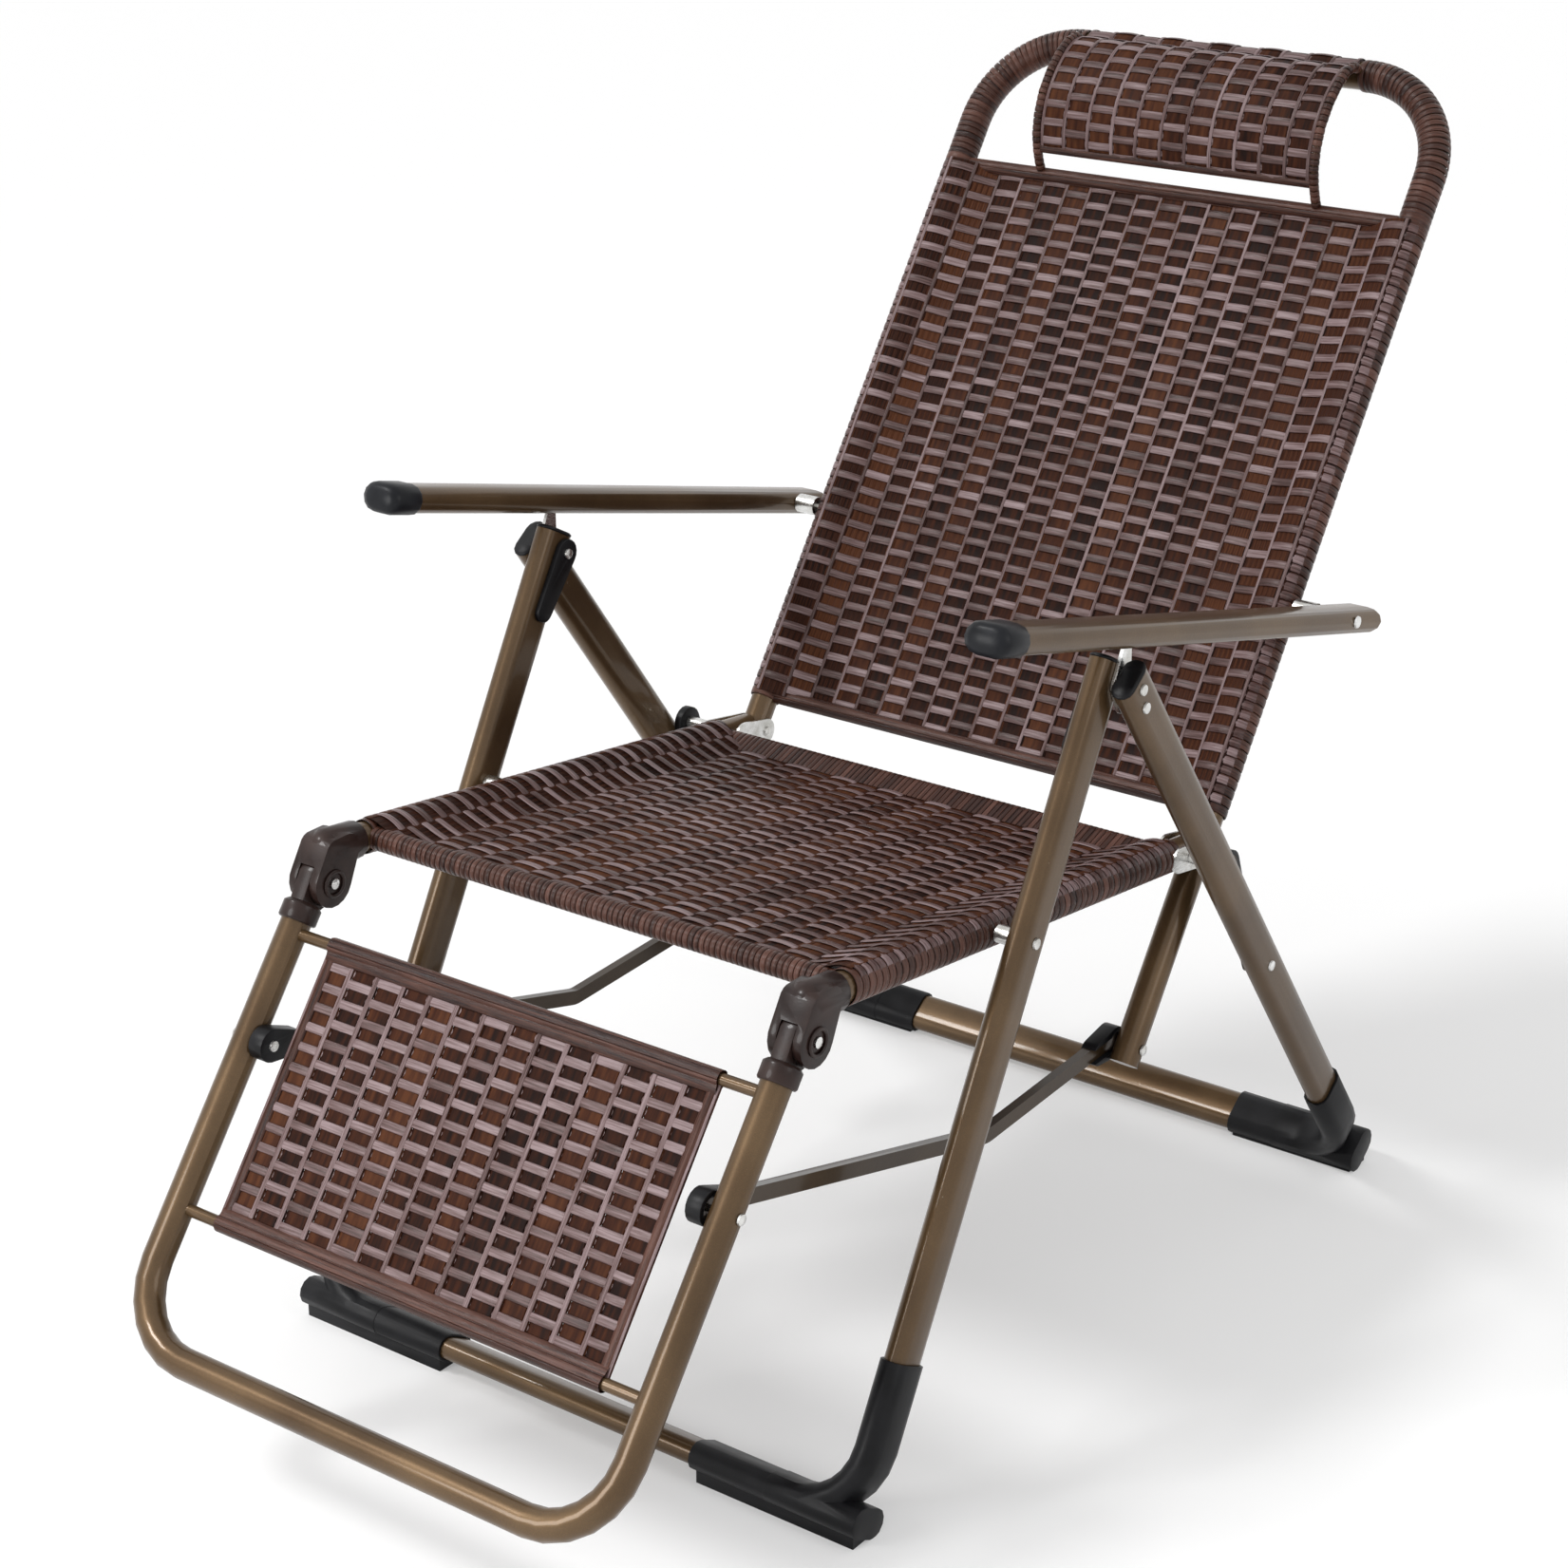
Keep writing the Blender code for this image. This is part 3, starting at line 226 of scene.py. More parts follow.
def strand_material(name, tones, rough, coat, specular):
    """Flat extruded resin strand: streaks and grooves along it, and a tone of its own."""
    made, tree, bsdf = material(name)
    uv = tree.nodes.new("ShaderNodeUVMap")
    uv.uv_map = "strand"
    tint = tree.nodes.new("ShaderNodeAttribute")
    tint.attribute_name = "tint"
    stretch = node(tree, "ShaderNodeMapping", Vector=(uv, "UV"), Scale=(26.0, 5.0, 1.0))
    streak = tree.nodes.new("ShaderNodeTexNoise")
    streak.noise_dimensions = "4D"
    tree.links.new(stretch.outputs["Vector"], streak.inputs["Vector"])
    tree.links.new(tint.outputs["Fac"], streak.inputs["W"])
    settings(streak, Scale=1.0, Detail=4.0)
    shift = node(tree, "ShaderNodeMapRange", Value=(tint, "Fac"),
                 From_Max=float(TINTS), To_Min=-0.16, To_Max=0.16)
    tone = maths(tree, "MULTIPLY_ADD", (streak, "Fac"), 1.0)
    tree.links.new(shift.outputs["Result"], tone.inputs[2])
    coloured(tree, bsdf, ramp(tree, tone, list(zip((0.28, 0.50, 0.74), tones)), "Value"), "Color")
    roughened(tree, bsdf, streak, (0.3, rough - 0.08), (0.75, rough + 0.12))
    fine = node(tree, "ShaderNodeMapping", Vector=(uv, "UV"), Scale=(40.0, 30.0, 1.0))
    bumped(tree, bsdf, noise(tree, (fine, "Vector"), 1.0, 3.0), 0.5, 0.0004)
    settings(bsdf, Specular_IOR_Level=specular, Coat_Weight=coat, Coat_Roughness=0.28)
    return made


def paint_material(name, painted_shade_factor=1.0):
    """Satin bronze paint with metal flake, a faint orange peel and small rubbed spots; a factor
    below 1 darkens its tones as painted shade.
    """
    made, tree, bsdf = material(name)
    place = object_place(tree)
    cloud = noise(tree, place, 9.0, 5.0)
    flake = noise(tree, place, 1500.0, 1.0)
    tones = ((0.32, (0.072, 0.042, 0.019)),
             (0.52, (0.098, 0.060, 0.029)),
             (0.72, (0.130, 0.082, 0.041)))
    base = ramp(tree, cloud, [(stop, tuple(painted_shade_factor * part for part in tone)) for stop, tone in tones])
    spark = ramp(tree, flake, ((0.45, (0.88, 0.86, 0.84)), (0.70, (1.25, 1.18, 1.08))))
    colour = mixed(tree, 0.6, (base, "Color"), (spark, "Color"), "MULTIPLY")
    spots = ramp(tree, noise(tree, place, 70.0, 8.0, Roughness=0.7), ((0.70, 0.0), (0.76, 1.0)))
    worn = mixed(tree, (spots, "Color"), (colour, 2), (0.42, 0.36, 0.28))
    coloured(tree, bsdf, worn, 2)
    roughened(tree, bsdf, cloud, (0.3, 0.27), (0.7, 0.37))
    bumped(tree, bsdf, noise(tree, place, 420.0, 2.0), 0.12, 0.0004)
    settings(bsdf, Metallic=0.45, Specular_IOR_Level=0.15, Coat_Weight=0.35, Coat_Roughness=0.10)
    return made


def moulded_material(name, dark, light, rough, grain, coat=0.0):
    """Moulded plastic or rubber: a slightly uneven tone, fine grain and scuffs that lighten it."""
    made, tree, bsdf = material(name)
    place = object_place(tree)
    cloud = noise(tree, place, 38.0, 6.0)
    base = ramp(tree, cloud, ((0.35, dark), (0.68, light)))
    marks = ramp(tree, noise(tree, place, 120.0, 9.0, Roughness=0.75), ((0.66, 0.0), (0.78, 0.6)))
    scuffed = tuple(min(1.0, part * 2.2 + 0.02) for part in light)
    coloured(tree, bsdf, mixed(tree, (marks, "Color"), (base, "Color"), scuffed), 2)
    roughened(tree, bsdf, cloud, (0.3, rough - 0.06), (0.75, rough + 0.1))
    bumped(tree, bsdf, noise(tree, place, grain, 3.0), 0.18, 0.0004)
    settings(bsdf, Specular_IOR_Level=0.18, Coat_Weight=coat)
    return made


def zinc_material():
    """Bright zinc plate with a brushed grain and dull patches."""
    made, tree, bsdf = material("zinc_finish")
    place = object_place(tree)
    stretch = node(tree, "ShaderNodeMapping", Vector=place, Scale=(1.0, 1.0, 8.0))
    grain = noise(tree, (stretch, "Vector"), 240.0, 4.0)
    dull = noise(tree, place, 60.0, 5.0)
    base = ramp(tree, dull, ((0.35, (0.50, 0.49, 0.46)), (0.65, (0.78, 0.78, 0.77))))
    coloured(tree, bsdf, base, "Color")
    roughened(tree, bsdf, grain, (0.3, 0.20), (0.7, 0.36))
    bumped(tree, bsdf, grain, 0.10, 0.0003)
    settings(bsdf, Metallic=1.0)
    return made


def seen_rays(tree):
    """1 for a ray from the camera, off something shiny or through something clear."""
    rays = tree.nodes.new("ShaderNodeLightPath")
    shiny = maths(tree, "MAXIMUM", (rays, "Is Glossy Ray"), (rays, "Is Transmission Ray"))
    return maths(tree, "MAXIMUM", (rays, "Is Camera Ray"), (shiny, "Value"))


# Dark, middle and light tone, then roughness, coat and specular level. The rows' lighter,
# lilac-grey tones are painted sheen: rows and columns are one resin strand.
WEFT_PAINTED_SHEEN = strand_material(
    "weave_rows",
    ((0.034, 0.012, 0.009), (0.112, 0.064, 0.061), (0.250, 0.180, 0.184)), 0.34, 0.06, 0.28)
# The columns' darker tones are painted shade for their lying deeper in the weave; the strand is the
# same as the rows'.
WARP_PAINTED_SHADE = strand_material(
    "weave_columns",
    ((0.009, 0.0028, 0.0018), (0.038, 0.0115, 0.0055), (0.080, 0.028, 0.012)), 0.50, 0.0, 0.06)
WOUND = strand_material(
    "weave_wraps",
    ((0.016, 0.0050, 0.0036), (0.054, 0.0190, 0.0115), (0.115, 0.050, 0.036)), 0.30, 0.06, 0.22)
FINISH = {
    "bronze_paint": paint_material("bronze_paint_finish"),
    "woven_resin": WOUND,
    "knuckle_plastic": moulded_material(
        "knuckle_finish", (0.012, 0.0060, 0.0050), (0.032, 0.0180, 0.0150), 0.34, 900.0, 0.12),
    "black_plastic": moulded_material(
        "black_plastic_finish", (0.0035, 0.0035, 0.0042), (0.0090, 0.0090, 0.0105), 0.40, 700.0),
    "black_rubber": moulded_material(
        "black_rubber_finish", (0.0045, 0.0050, 0.0065), (0.0110, 0.0120, 0.0150), 0.36, 1200.0),
    "zinc_steel": zinc_material(),
}
# A copy of the bronze paint darkened to 0.42 as painted shade, standing in for the shade the link
# and stay bars lie in
BRONZE_PAINTED_SHADE = paint_material("bronze_paint_painted_shade_finish", 0.42)

# The frame's solids: a finish, smooth shading with hard corners, and small radii on mouldings
MOULDED = ("knuckle_plastic", "black_plastic", "black_rubber")
for entry in frame["record"]["subparts"]:
    part = frame["nodes"][entry["node"]]
    part.data.materials.clear()
    # Link and stay bars take the bronze copy darkened as painted shade
    dark = entry["node"].startswith(("link_bar", "stay_bar"))
    part.data.materials.append(BRONZE_PAINTED_SHADE if dark else FINISH[entry["material_slot"]])
    part.data.polygons.foreach_set("use_smooth", [True] * len(part.data.polygons))
    weld = part.modifiers.new("weld", "WELD")
    weld.merge_threshold = 0.00001
    if entry["material_slot"] in MOULDED:
        edges = part.modifiers.new("rounded_edges", "BEVEL")
        edges.limit_method, edges.angle_limit = "ANGLE", math.radians(40)
        edges.width, edges.segments = 0.0008, 2
    split = part.modifiers.new("hard_edges", "EDGE_SPLIT")
    split.use_edge_sharp, split.split_angle = False, math.radians(50)

# Strands: the section's corners, as shares of the width and of the thickness
SECTION = np.array([(-0.50, 0.00), (-0.41, 0.36), (0.00, 0.50), (0.41, 0.36),
                    (0.50, 0.00), (0.41, -0.36), (0.00, -0.50), (-0.41, -0.36)])


class Strands:
    """Gathers flat strands and makes them one mesh."""

    def __init__(self):
        self.points, self.faces, self.uvs, self.tints = [], [], [], []
        self.count = 0

    def add(self, line, across, wide, thick=STRAND, closed=False, tint=None):
        """A strand along the line, its flat side set by the direction across it."""
        line = np.asarray(line, float)
        across = np.broadcast_to(np.asarray(across, float), line.shape)
        if closed:
            way = np.roll(line, -1, 0) - np.roll(line, 1, 0)
        else:
            way = np.gradient(line, axis=0)
        way /= np.linalg.norm(way, axis=1)[:, None]
        side = across - way * (across * way).sum(1)[:, None]
        side /= np.linalg.norm(side, axis=1)[:, None]
        up = np.cross(way, side)
        rings = (line[:, None, :] + SECTION[None, :, 0, None] * wide * side[:, None, :]
                 + SECTION[None, :, 1, None] * thick * up[:, None, :])
        n, k = len(line), len(SECTION)
        steps = np.arange(n if closed else n - 1)
        a = (steps[:, None] * k + np.arange(k)[None, :])
        b = (((steps + 1) % n)[:, None] * k + np.arange(k)[None, :])
        quads = np.stack([a, b, np.roll(b, -1, 1), np.roll(a, -1, 1)], -1).reshape(-1, 4)
        hop = np.linalg.norm(np.diff(line, axis=0, append=line[:1]), axis=1)
        run = np.concatenate([[0.0], np.cumsum(hop)])
        v = SECTION[:, 0] + 0.5
        u0, u1 = np.repeat(run[steps], k), np.repeat(run[steps + 1], k)
        v0, v1 = np.tile(v, len(steps)), np.tile(np.roll(v, -1), len(steps))
        corners = ((u0, v0), (u1, v0), (u1, v1), (u0, v1))
        self.points.append(rings.reshape(-1, 3))
        self.faces.append(quads + self.count)
        self.uvs.append(np.stack([np.stack(uv, 1) for uv in corners], 1).reshape(-1, 2))
        tint = RANDOM.uniform(0, TINTS) if tint is None else tint
        self.tints.append(np.full(n * k, tint))
        self.count += n * k

    def build(self, name, paint, body, replaced=()):
        points, faces = np.concatenate(self.points), np.concatenate(self.faces)
        uvs, tints = np.concatenate(self.uvs), np.concatenate(self.tints)
        mesh = bpy.data.meshes.new(name)
        mesh.vertices.add(len(points))
        mesh.vertices.foreach_set("co", points.astype(np.float32).ravel())
        mesh.loops.add(faces.size)
        mesh.loops.foreach_set("vertex_index", faces.astype(np.int32).ravel())
        mesh.polygons.add(len(faces))
        mesh.polygons.foreach_set("loop_start", np.arange(0, faces.size, 4, dtype=np.int32))
        mesh.update(calc_edges=True)
        mesh.uv_layers.new(name="strand").data.foreach_set("uv", uvs.astype(np.float32).ravel())
        tint = mesh.attributes.new("tint", "FLOAT", "POINT")
        tint.data.foreach_set("value", tints.astype(np.float32))
        mesh.polygons.foreach_set("use_smooth", [True] * len(mesh.polygons))
        mesh.materials.append(paint)
        mesh.validate()
        obj = bpy.data.objects.new(name, mesh)
        bpy.context.scene.collection.objects.link(obj)
        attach(obj, body)
        if replaced:
            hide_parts(*replaced)


def spread(amount):
    """A random number between -amount and amount."""
    return RANDOM.uniform(-amount, amount)


def alternate(index):
    return 1 if index % 2 else -1


def run_of(points):
    """How far along the polyline each point lies."""
    return np.concatenate([[0.0], np.cumsum(np.linalg.norm(np.diff(points, axis=0), axis=1))])


def resampled(points, spacing):
    """The polyline with points this far apart along its length."""
    points = np.asarray(points, float)
    run = run_of(points)
    places = np.linspace(0, run[-1], max(int(round(run[-1] / spacing)), 2) + 1)
    return np.stack([np.interp(places, run, points[:, i]) for i in range(points.shape[1])], 1)


def smooth(points, rounds=3):
    """Corners cut again and again, ends kept."""
    points = np.asarray(points, float)
    for _ in range(rounds):
        near = 0.75 * points[:-1] + 0.25 * points[1:]
        far = 0.25 * points[:-1] + 0.75 * points[1:]
        between = np.stack([near, far], 1).reshape(-1, points.shape[1])
        points = np.concatenate([points[:1], between, points[-1:]])
    return points


def over_rod(radius, reach, under=-0.0012, turns=15):
    """(along, out) of a strip from under the panel, round a rod and back to the panel's plane."""
    lean = math.asin(radius / reach)
    turn = np.linspace(-math.pi / 2 + lean, -1.5 * math.pi - lean, turns)
    arc = np.stack([radius * np.cos(turn), radius * np.sin(turn)], 1)
    return np.concatenate([[(reach, under)], arc, [(reach, 0.0)]])


def across_profile(radius, spacing=0.0050):
    """(x, out) across a panel: flat, then up to the top of each side tube and down its outside."""
    x = np.arange(0.0, TUBE_X, spacing)
    share = np.clip((x - (TUBE_X - SLOPE_REACH)) / SLOPE_REACH, 0, 1)
    turn = np.linspace(math.pi / 2, math.pi / 5, 6)
    arc = np.stack([TUBE_X + radius * np.cos(turn), radius * np.sin(turn)], 1)
    tucked = np.array([[0.97], [0.90]])
    arc[-2:] = [TUBE_X, 0.0] + (arc[-2:] - [TUBE_X, 0.0]) * tucked
    slope = radius * share * share * (3 - 2 * share)
    right = np.concatenate([np.stack([x, slope], 1), arc])
    return np.concatenate([(right * [-1, 1])[::-1][:-1], right])


def weave_wave(phase):
    """A flat-topped wave between -1 and 1."""
    value = np.cos(phase)
    return np.sign(value) * np.abs(value) ** WAVE_FLATNESS


class Profile:
    """A line in the side plane, with its direction and the direction out of the panel."""

    def __init__(self, line):
        points = BACK_POINT + np.outer(line[:, 0], BACK_DIR) + np.outer(line[:, 1], BACK_FRONT)
        self.points = resampled(points, 0.001)
        self.run = run_of(self.points)
        self.length = self.run[-1]

    def spots(self, places):
        return np.stack([np.interp(places, self.run, self.points[:, i]) for i in range(3)], 1)

    def at(self, places, step=0.002):
        places = np.atleast_1d(places)
        way = self.spots(places + step) - self.spots(places - step)
        way /= np.linalg.norm(way, axis=1)[:, None]
        return self.spots(places), way, np.cross(X, way)


class Panel:
    """A plain weave between two rods: wide strands along the panel, narrow ones across it.

    Its sides are wound round the side tubes, or folded where the panel hangs on its rods alone.
    """

    def __init__(self, point, way, first, last, columns, half, rod, join, folded=False):
        self.point, self.way, self.out = point, way, np.cross(X, way)
        self.first, self.last, self.half, self.columns = first, last, half, columns
        self.rod, self.join, self.folded = rod, join, folded
        self.rows, self.cols, self.joins, self.wraps = Strands(), Strands(), Strands(), Strands()
        self.pitch = 2 * half / columns
        self.count = int(round((last - first - 2 * END_GAP) / ROW))
        self.row_pitch = (last - first - 2 * END_GAP) / self.count
        self.begin = first + END_GAP + self.row_pitch / 2
        if folded:
            xs = np.linspace(END_GAP - half, half - END_GAP, columns * 5 + 1)
            cross = np.stack([xs, np.zeros(len(xs))], 1)
        else:
            cross = across_profile(TUBE_R + WRAP + STRAND)
        self.fine = resampled(cross, ROW_STEP)
        self.slope = np.gradient(self.fine, axis=0)
        self.slope /= np.linalg.norm(self.slope, axis=1)[:, None]
        self.lift = np.stack([-self.slope[:, 1], self.slope[:, 0]], 1)
        self.run = np.arange(first, last, self.row_pitch / 3)
        self.blank = np.zeros(len(self.run))

    def place(self, x, along, up):
        return self.point + np.outer(along, self.way) + np.outer(up, self.out) + np.outer(x, X)

    def stand(self, x):
        """Where a column at x lies: its height, the direction across it and its lift."""
        fine, slope = self.fine, self.slope
        i = int(round(np.interp(x, fine[:, 0], np.arange(len(fine)))))
        height = np.interp(x, fine[:, 0], fine[:, 1])
        return height, slope[i, 0] * X + slope[i, 1] * self.out, self.lift[i]

    def weave_rows(self):
        """Across: each row goes over one column and under the next."""
        fine = self.fine
        fade = np.clip((self.half + FADE_PAST - np.abs(fine[:, 0])) / FADE_REACH, 0, 1)
        for i in range(self.count):
            along = self.begin + i * self.row_pitch + spread(ROW_SHIFT)
            phase = math.pi * (fine[:, 0] + self.half - self.pitch / 2) / self.pitch
            wave = alternate(i) * weave_wave(phase)
            height = RISE * (1 + spread(RISE_SPREAD))
            line = fine + self.lift * (fade * wave * height)[:, None]
            path = self.place(line[:, 0], np.full(len(line), along), line[:, 1])
            self.rows.add(path, self.way, ROW_WIDE * (1 + spread(ROW_SPREAD)))

    def weave_columns(self):
        """Along: wide columns, sliced where they climb the side tubes, and strips between them."""
        half, pitch, run, fine = self.half, self.pitch, self.run, self.fine
        for j in range(self.columns):
            x = -half + pitch * (j + 0.5) + spread(COLUMN_SHIFT)
            wave = np.cos(math.pi * (run - self.begin) / self.row_pitch)
            rise = alternate(j) * WARP_RISE * wave - COLUMN_SINK
            wide = COLUMN_WIDE * (1 + spread(COLUMN_SPREAD))
            tint = RANDOM.uniform(0, TINTS)
            sloping = not self.folded and abs(x) + pitch / 2 > TUBE_X - SLOPE_REACH
            slices = SLOPE_SLICES if sloping else 1
            overlap = SLICE_OVERLAP if sloping else 0.0
            for k in range(slices):
                x_slice = x + wide * ((k + 0.5) / slices - 0.5)
                x_slice = np.clip(x_slice, fine[0, 0] + SIDE_GAP, fine[-1, 0] - SIDE_GAP)
                level, side, up = self.stand(x_slice)
                path = self.place(x_slice + up[0] * rise, run, level + up[1] * rise)
                self.cols.add(path, side, wide / slices + overlap, COLUMN_THICK, tint=tint)
        for j in range(self.columns + 1):
            x = np.clip(-half + pitch * j, -half + BACKING_INSET, half - BACKING_INSET)
            level, side, up = self.stand(x)
            path = self.place(self.blank + x, run, self.blank + level)
            self.cols.add(path, side, BACKING_WIDE, BACKING_THICK)
            for face in (1, -1) if self.join else ():
                xs = self.blank + x + up[0] * face * JOIN_RISE
                path = self.place(xs, run, self.blank + level + up[1] * face * JOIN_RISE)
                self.joins.add(path, side, self.join, JOIN_THICK)

    def wind_sides(self):
        """Round the side tubes, or along the folded sides."""
        for side in (1, -1):
            if self.folded:
                x = side * (self.half - FOLD_THICK)
                path = self.place(self.blank + x, self.run, self.blank)
                self.wraps.add(path, X, FOLD_WIDE, FOLD_THICK)
                continue
            for i in range(-1, self.count + 1):
                along = self.begin + i * self.row_pitch
                x = side * (TUBE_X + (TUBE_R + WRAP) * np.cos(TUBE_TURN))
                lean = TUBE_LEAN * np.sin(TUBE_TURN)
                ring = self.place(x, along + lean, (TUBE_R + WRAP) * np.sin(TUBE_TURN))
                self.wraps.add(ring, self.way, self.row_pitch * TUBE_SHARE, closed=True)

    def wind_rods(self):
        """Round the two rods: wound on a rail, or strips laid along a thin rod."""
        for at, toward in ((self.first, 1), (self.last, -1)):
            if self.rod == RAIL_R:
                self.bind_rail(at, toward)
            else:
                self.cover_rod(at, toward)

    def bind_rail(self, at, toward, step=0.0024, lift=0.0003):
        shape = resampled(over_rod(self.rod + WRAP, BOUND_WIDE + self.rod), step)
        shape = shape * [toward, 1] + [at, lift]
        count = int(2 * self.half / EDGE_PITCH)
        for i in range(count):
            x = -self.half + 2 * self.half * (i + 0.5) / count
            path = self.place(np.full(len(shape), x), shape[:, 0], shape[:, 1])
            self.wraps.add(path, X, 2 * self.half / count * RAIL_SHARE)

    def cover_rod(self, at, toward, first_turn=0.3):
        way, out = self.way, self.out
        xs = np.linspace(-self.half, self.half, 60)
        over = self.rod + WRAP * 0.8
        for turn in np.arange(ROD_STRIPS) * math.pi / 3 + first_turn:
            along, up = at + over * math.cos(turn), over * math.sin(turn)
            path = self.place(xs, np.full(len(xs), along), np.full(len(xs), up))
            across = -math.sin(turn) * way + math.cos(turn) * out
            self.wraps.add(path, across, ROD_STRIP_WIDE, ROD_STRIP_THICK)
        for face in (1, -1) if self.folded else ():
            along, up = at + toward * HEM_ALONG, face * HEM_OUT
            path = self.place(xs, np.full(len(xs), along), np.full(len(xs), up))
            across = way - toward * face * HEM_TILT * out
            self.wraps.add(path, across, HEM_WIDE, ROD_STRIP_THICK)

    def build(self, name, body, replaced):
        self.weave_rows()
        self.weave_columns()
        self.wind_sides()
        self.wind_rods()
        self.rows.build(name + "_rows", WEFT_PAINTED_SHEEN, body, replaced)
        if self.join:
            self.joins.build(name + "_joins", WEFT_PAINTED_SHEEN, body)
        self.cols.build(name + "_columns", WARP_PAINTED_SHADE, body)
        self.wraps.build(name + "_wraps", WOUND, body)


def top_loop():
    """The wound tube of the back's top loop, from just below the upper rod to the headrest."""
    loop_wraps = Strands()
    start = BACK_HIGH - 0.004
    bend = np.linspace(0, math.pi / 2, 24)
    radius = TUBE_R + WRAP
    lean = LOOP_LEAN * np.sin(TUBE_TURN)
    corner_x, corner_v = TUBE_X - BACK_BEND, BACK_TOP - BACK_BEND
    line = np.concatenate([
        [(TUBE_X, start)],
        np.stack([corner_x + BACK_BEND * np.cos(bend), corner_v + BACK_BEND * np.sin(bend)], 1),
        [(HEAD_WIRE_X + WIRE_R, BACK_TOP)]])
    path = resampled(line, LOOP_PITCH)
    way = np.gradient(path, axis=0)
    way /= np.linalg.norm(way, axis=1)[:, None]
    for side in (1, -1):
        for (x, v), (way_x, way_v) in zip(path, way):
            xs = x + radius * np.cos(TUBE_TURN) * way_v + lean * way_x
            vs = v + radius * np.cos(TUBE_TURN) * -way_x + lean * way_v
            ring = (BACK_POINT + np.outer(side * xs, X) + np.outer(vs, BACK_DIR)
                    + np.outer(radius * np.sin(TUBE_TURN), BACK_FRONT))
            across = side * way_x * X + way_v * BACK_DIR
            loop_wraps.add(ring, across, LOOP_WIDE, closed=True)
    loop_wraps.build("loop_wraps", WOUND, "back")


# The headrest's side view: the share of the way from the top rail to the rod, and metres out
HEAD_SHAPE = [(0.0, 0.0145), (0.028, 0.0260), (0.110, 0.0365), (0.228, 0.0430), (0.377, 0.0470),
              (0.540, 0.0470), (0.688, 0.0415), (0.807, 0.0330), (0.896, 0.0215)]


def head_point(share, out):
    return BACK_TOP + share * (BACK_HIGH - BACK_TOP), out


def headrest():
    """A woven band from under the bulge up and over the top rail, on two wound posts."""
    bulge = smooth([head_point(*spot) for spot in HEAD_SHAPE[::-1]])
    turn = np.linspace(math.pi * 0.52, -math.pi * 0.35, 14)
    over = TUBE_R + WRAP
    rail = np.stack([BACK_TOP + over * np.cos(turn), over * np.sin(turn)], 1)
    profile = Profile(np.concatenate([bulge[:-3], rail]))
    rows, cols, edges = Strands(), Strands(), Strands()
    pitch = 2 * HEAD_HALF / HEAD_COLUMNS
    start, woven_share = 0.004, 0.93
    row_half, join_half = HEAD_HALF - 0.0008, HEAD_HALF - 0.0025
    xs = np.linspace(-row_half, row_half, HEAD_COLUMNS * 5 + 1)
    wave = weave_wave(math.pi * (xs + HEAD_HALF - pitch / 2) / pitch)
    for i in range(int(profile.length * woven_share / ROW)):
        spot, way, out = profile.at(start + i * ROW)
        height = alternate(i) * RISE * wave
        rows.add(spot + np.outer(xs, X) + np.outer(height, out[0]), way[0], ROW_WIDE)
    places = np.arange(0, profile.length, ROW / 3)
    spot, way, out = profile.at(places)
    for j in range(HEAD_COLUMNS):
        x = -HEAD_HALF + pitch * (j + 0.5)
        height = alternate(j) * WARP_RISE * np.cos(math.pi * (places - start) / ROW)
        cols.add(spot + x * X + height[:, None] * out, X, COLUMN_WIDE)
    for j in range(HEAD_COLUMNS + 1):
        x = np.clip(-HEAD_HALF + pitch * j, -join_half, join_half)
        for face in (1, -1):
            rows.add(spot + x * X + face * JOIN_RISE * out, X, HEAD_JOIN_WIDE, JOIN_THICK)
    hem_at, hem_out, hem_wide, hem_thick = 0.003, 0.0012, 0.0070, 0.0014
    spot, way, out = profile.at(hem_at)
    xs = np.linspace(-HEAD_HALF, HEAD_HALF, 40)
    for face in (1, -1):
        edges.add(spot + np.outer(xs, X) + face * hem_out * out, way[0], hem_wide, hem_thick)
    wind_posts(edges)
    rows.build("headrest_rows", WEFT_PAINTED_SHEEN, "back", ["headrest_weave"])
    cols.build("headrest_columns", WARP_PAINTED_SHADE, "back")
    edges.build("headrest_edges", WOUND, "back")


def wind_posts(edges):
    """The two wires at the headrest's sides, wound from the rod to the top rail."""
    line = ([(BACK_HIGH, 0.0), head_point(0.955, 0.0110)]
            + [head_point(*spot) for spot in HEAD_SHAPE[:0:-1]] + [(BACK_TOP, 0.004)])
    post = Profile(np.array(line))
    thick, start, stop = 0.0010, 0.004, 0.012
    radius = WIRE_R + thick
    for side in (1, -1):
        for place in np.arange(start, post.length - stop, LOOP_PITCH):
            spot, way, out = post.at(place)
            ring = (spot + np.outer(side * HEAD_WIRE_X + radius * np.cos(WIRE_TURN), X)
                    + np.outer(radius * np.sin(WIRE_TURN), out[0]))
            edges.add(ring, way[0], LOOP_WIDE, thick, closed=True)


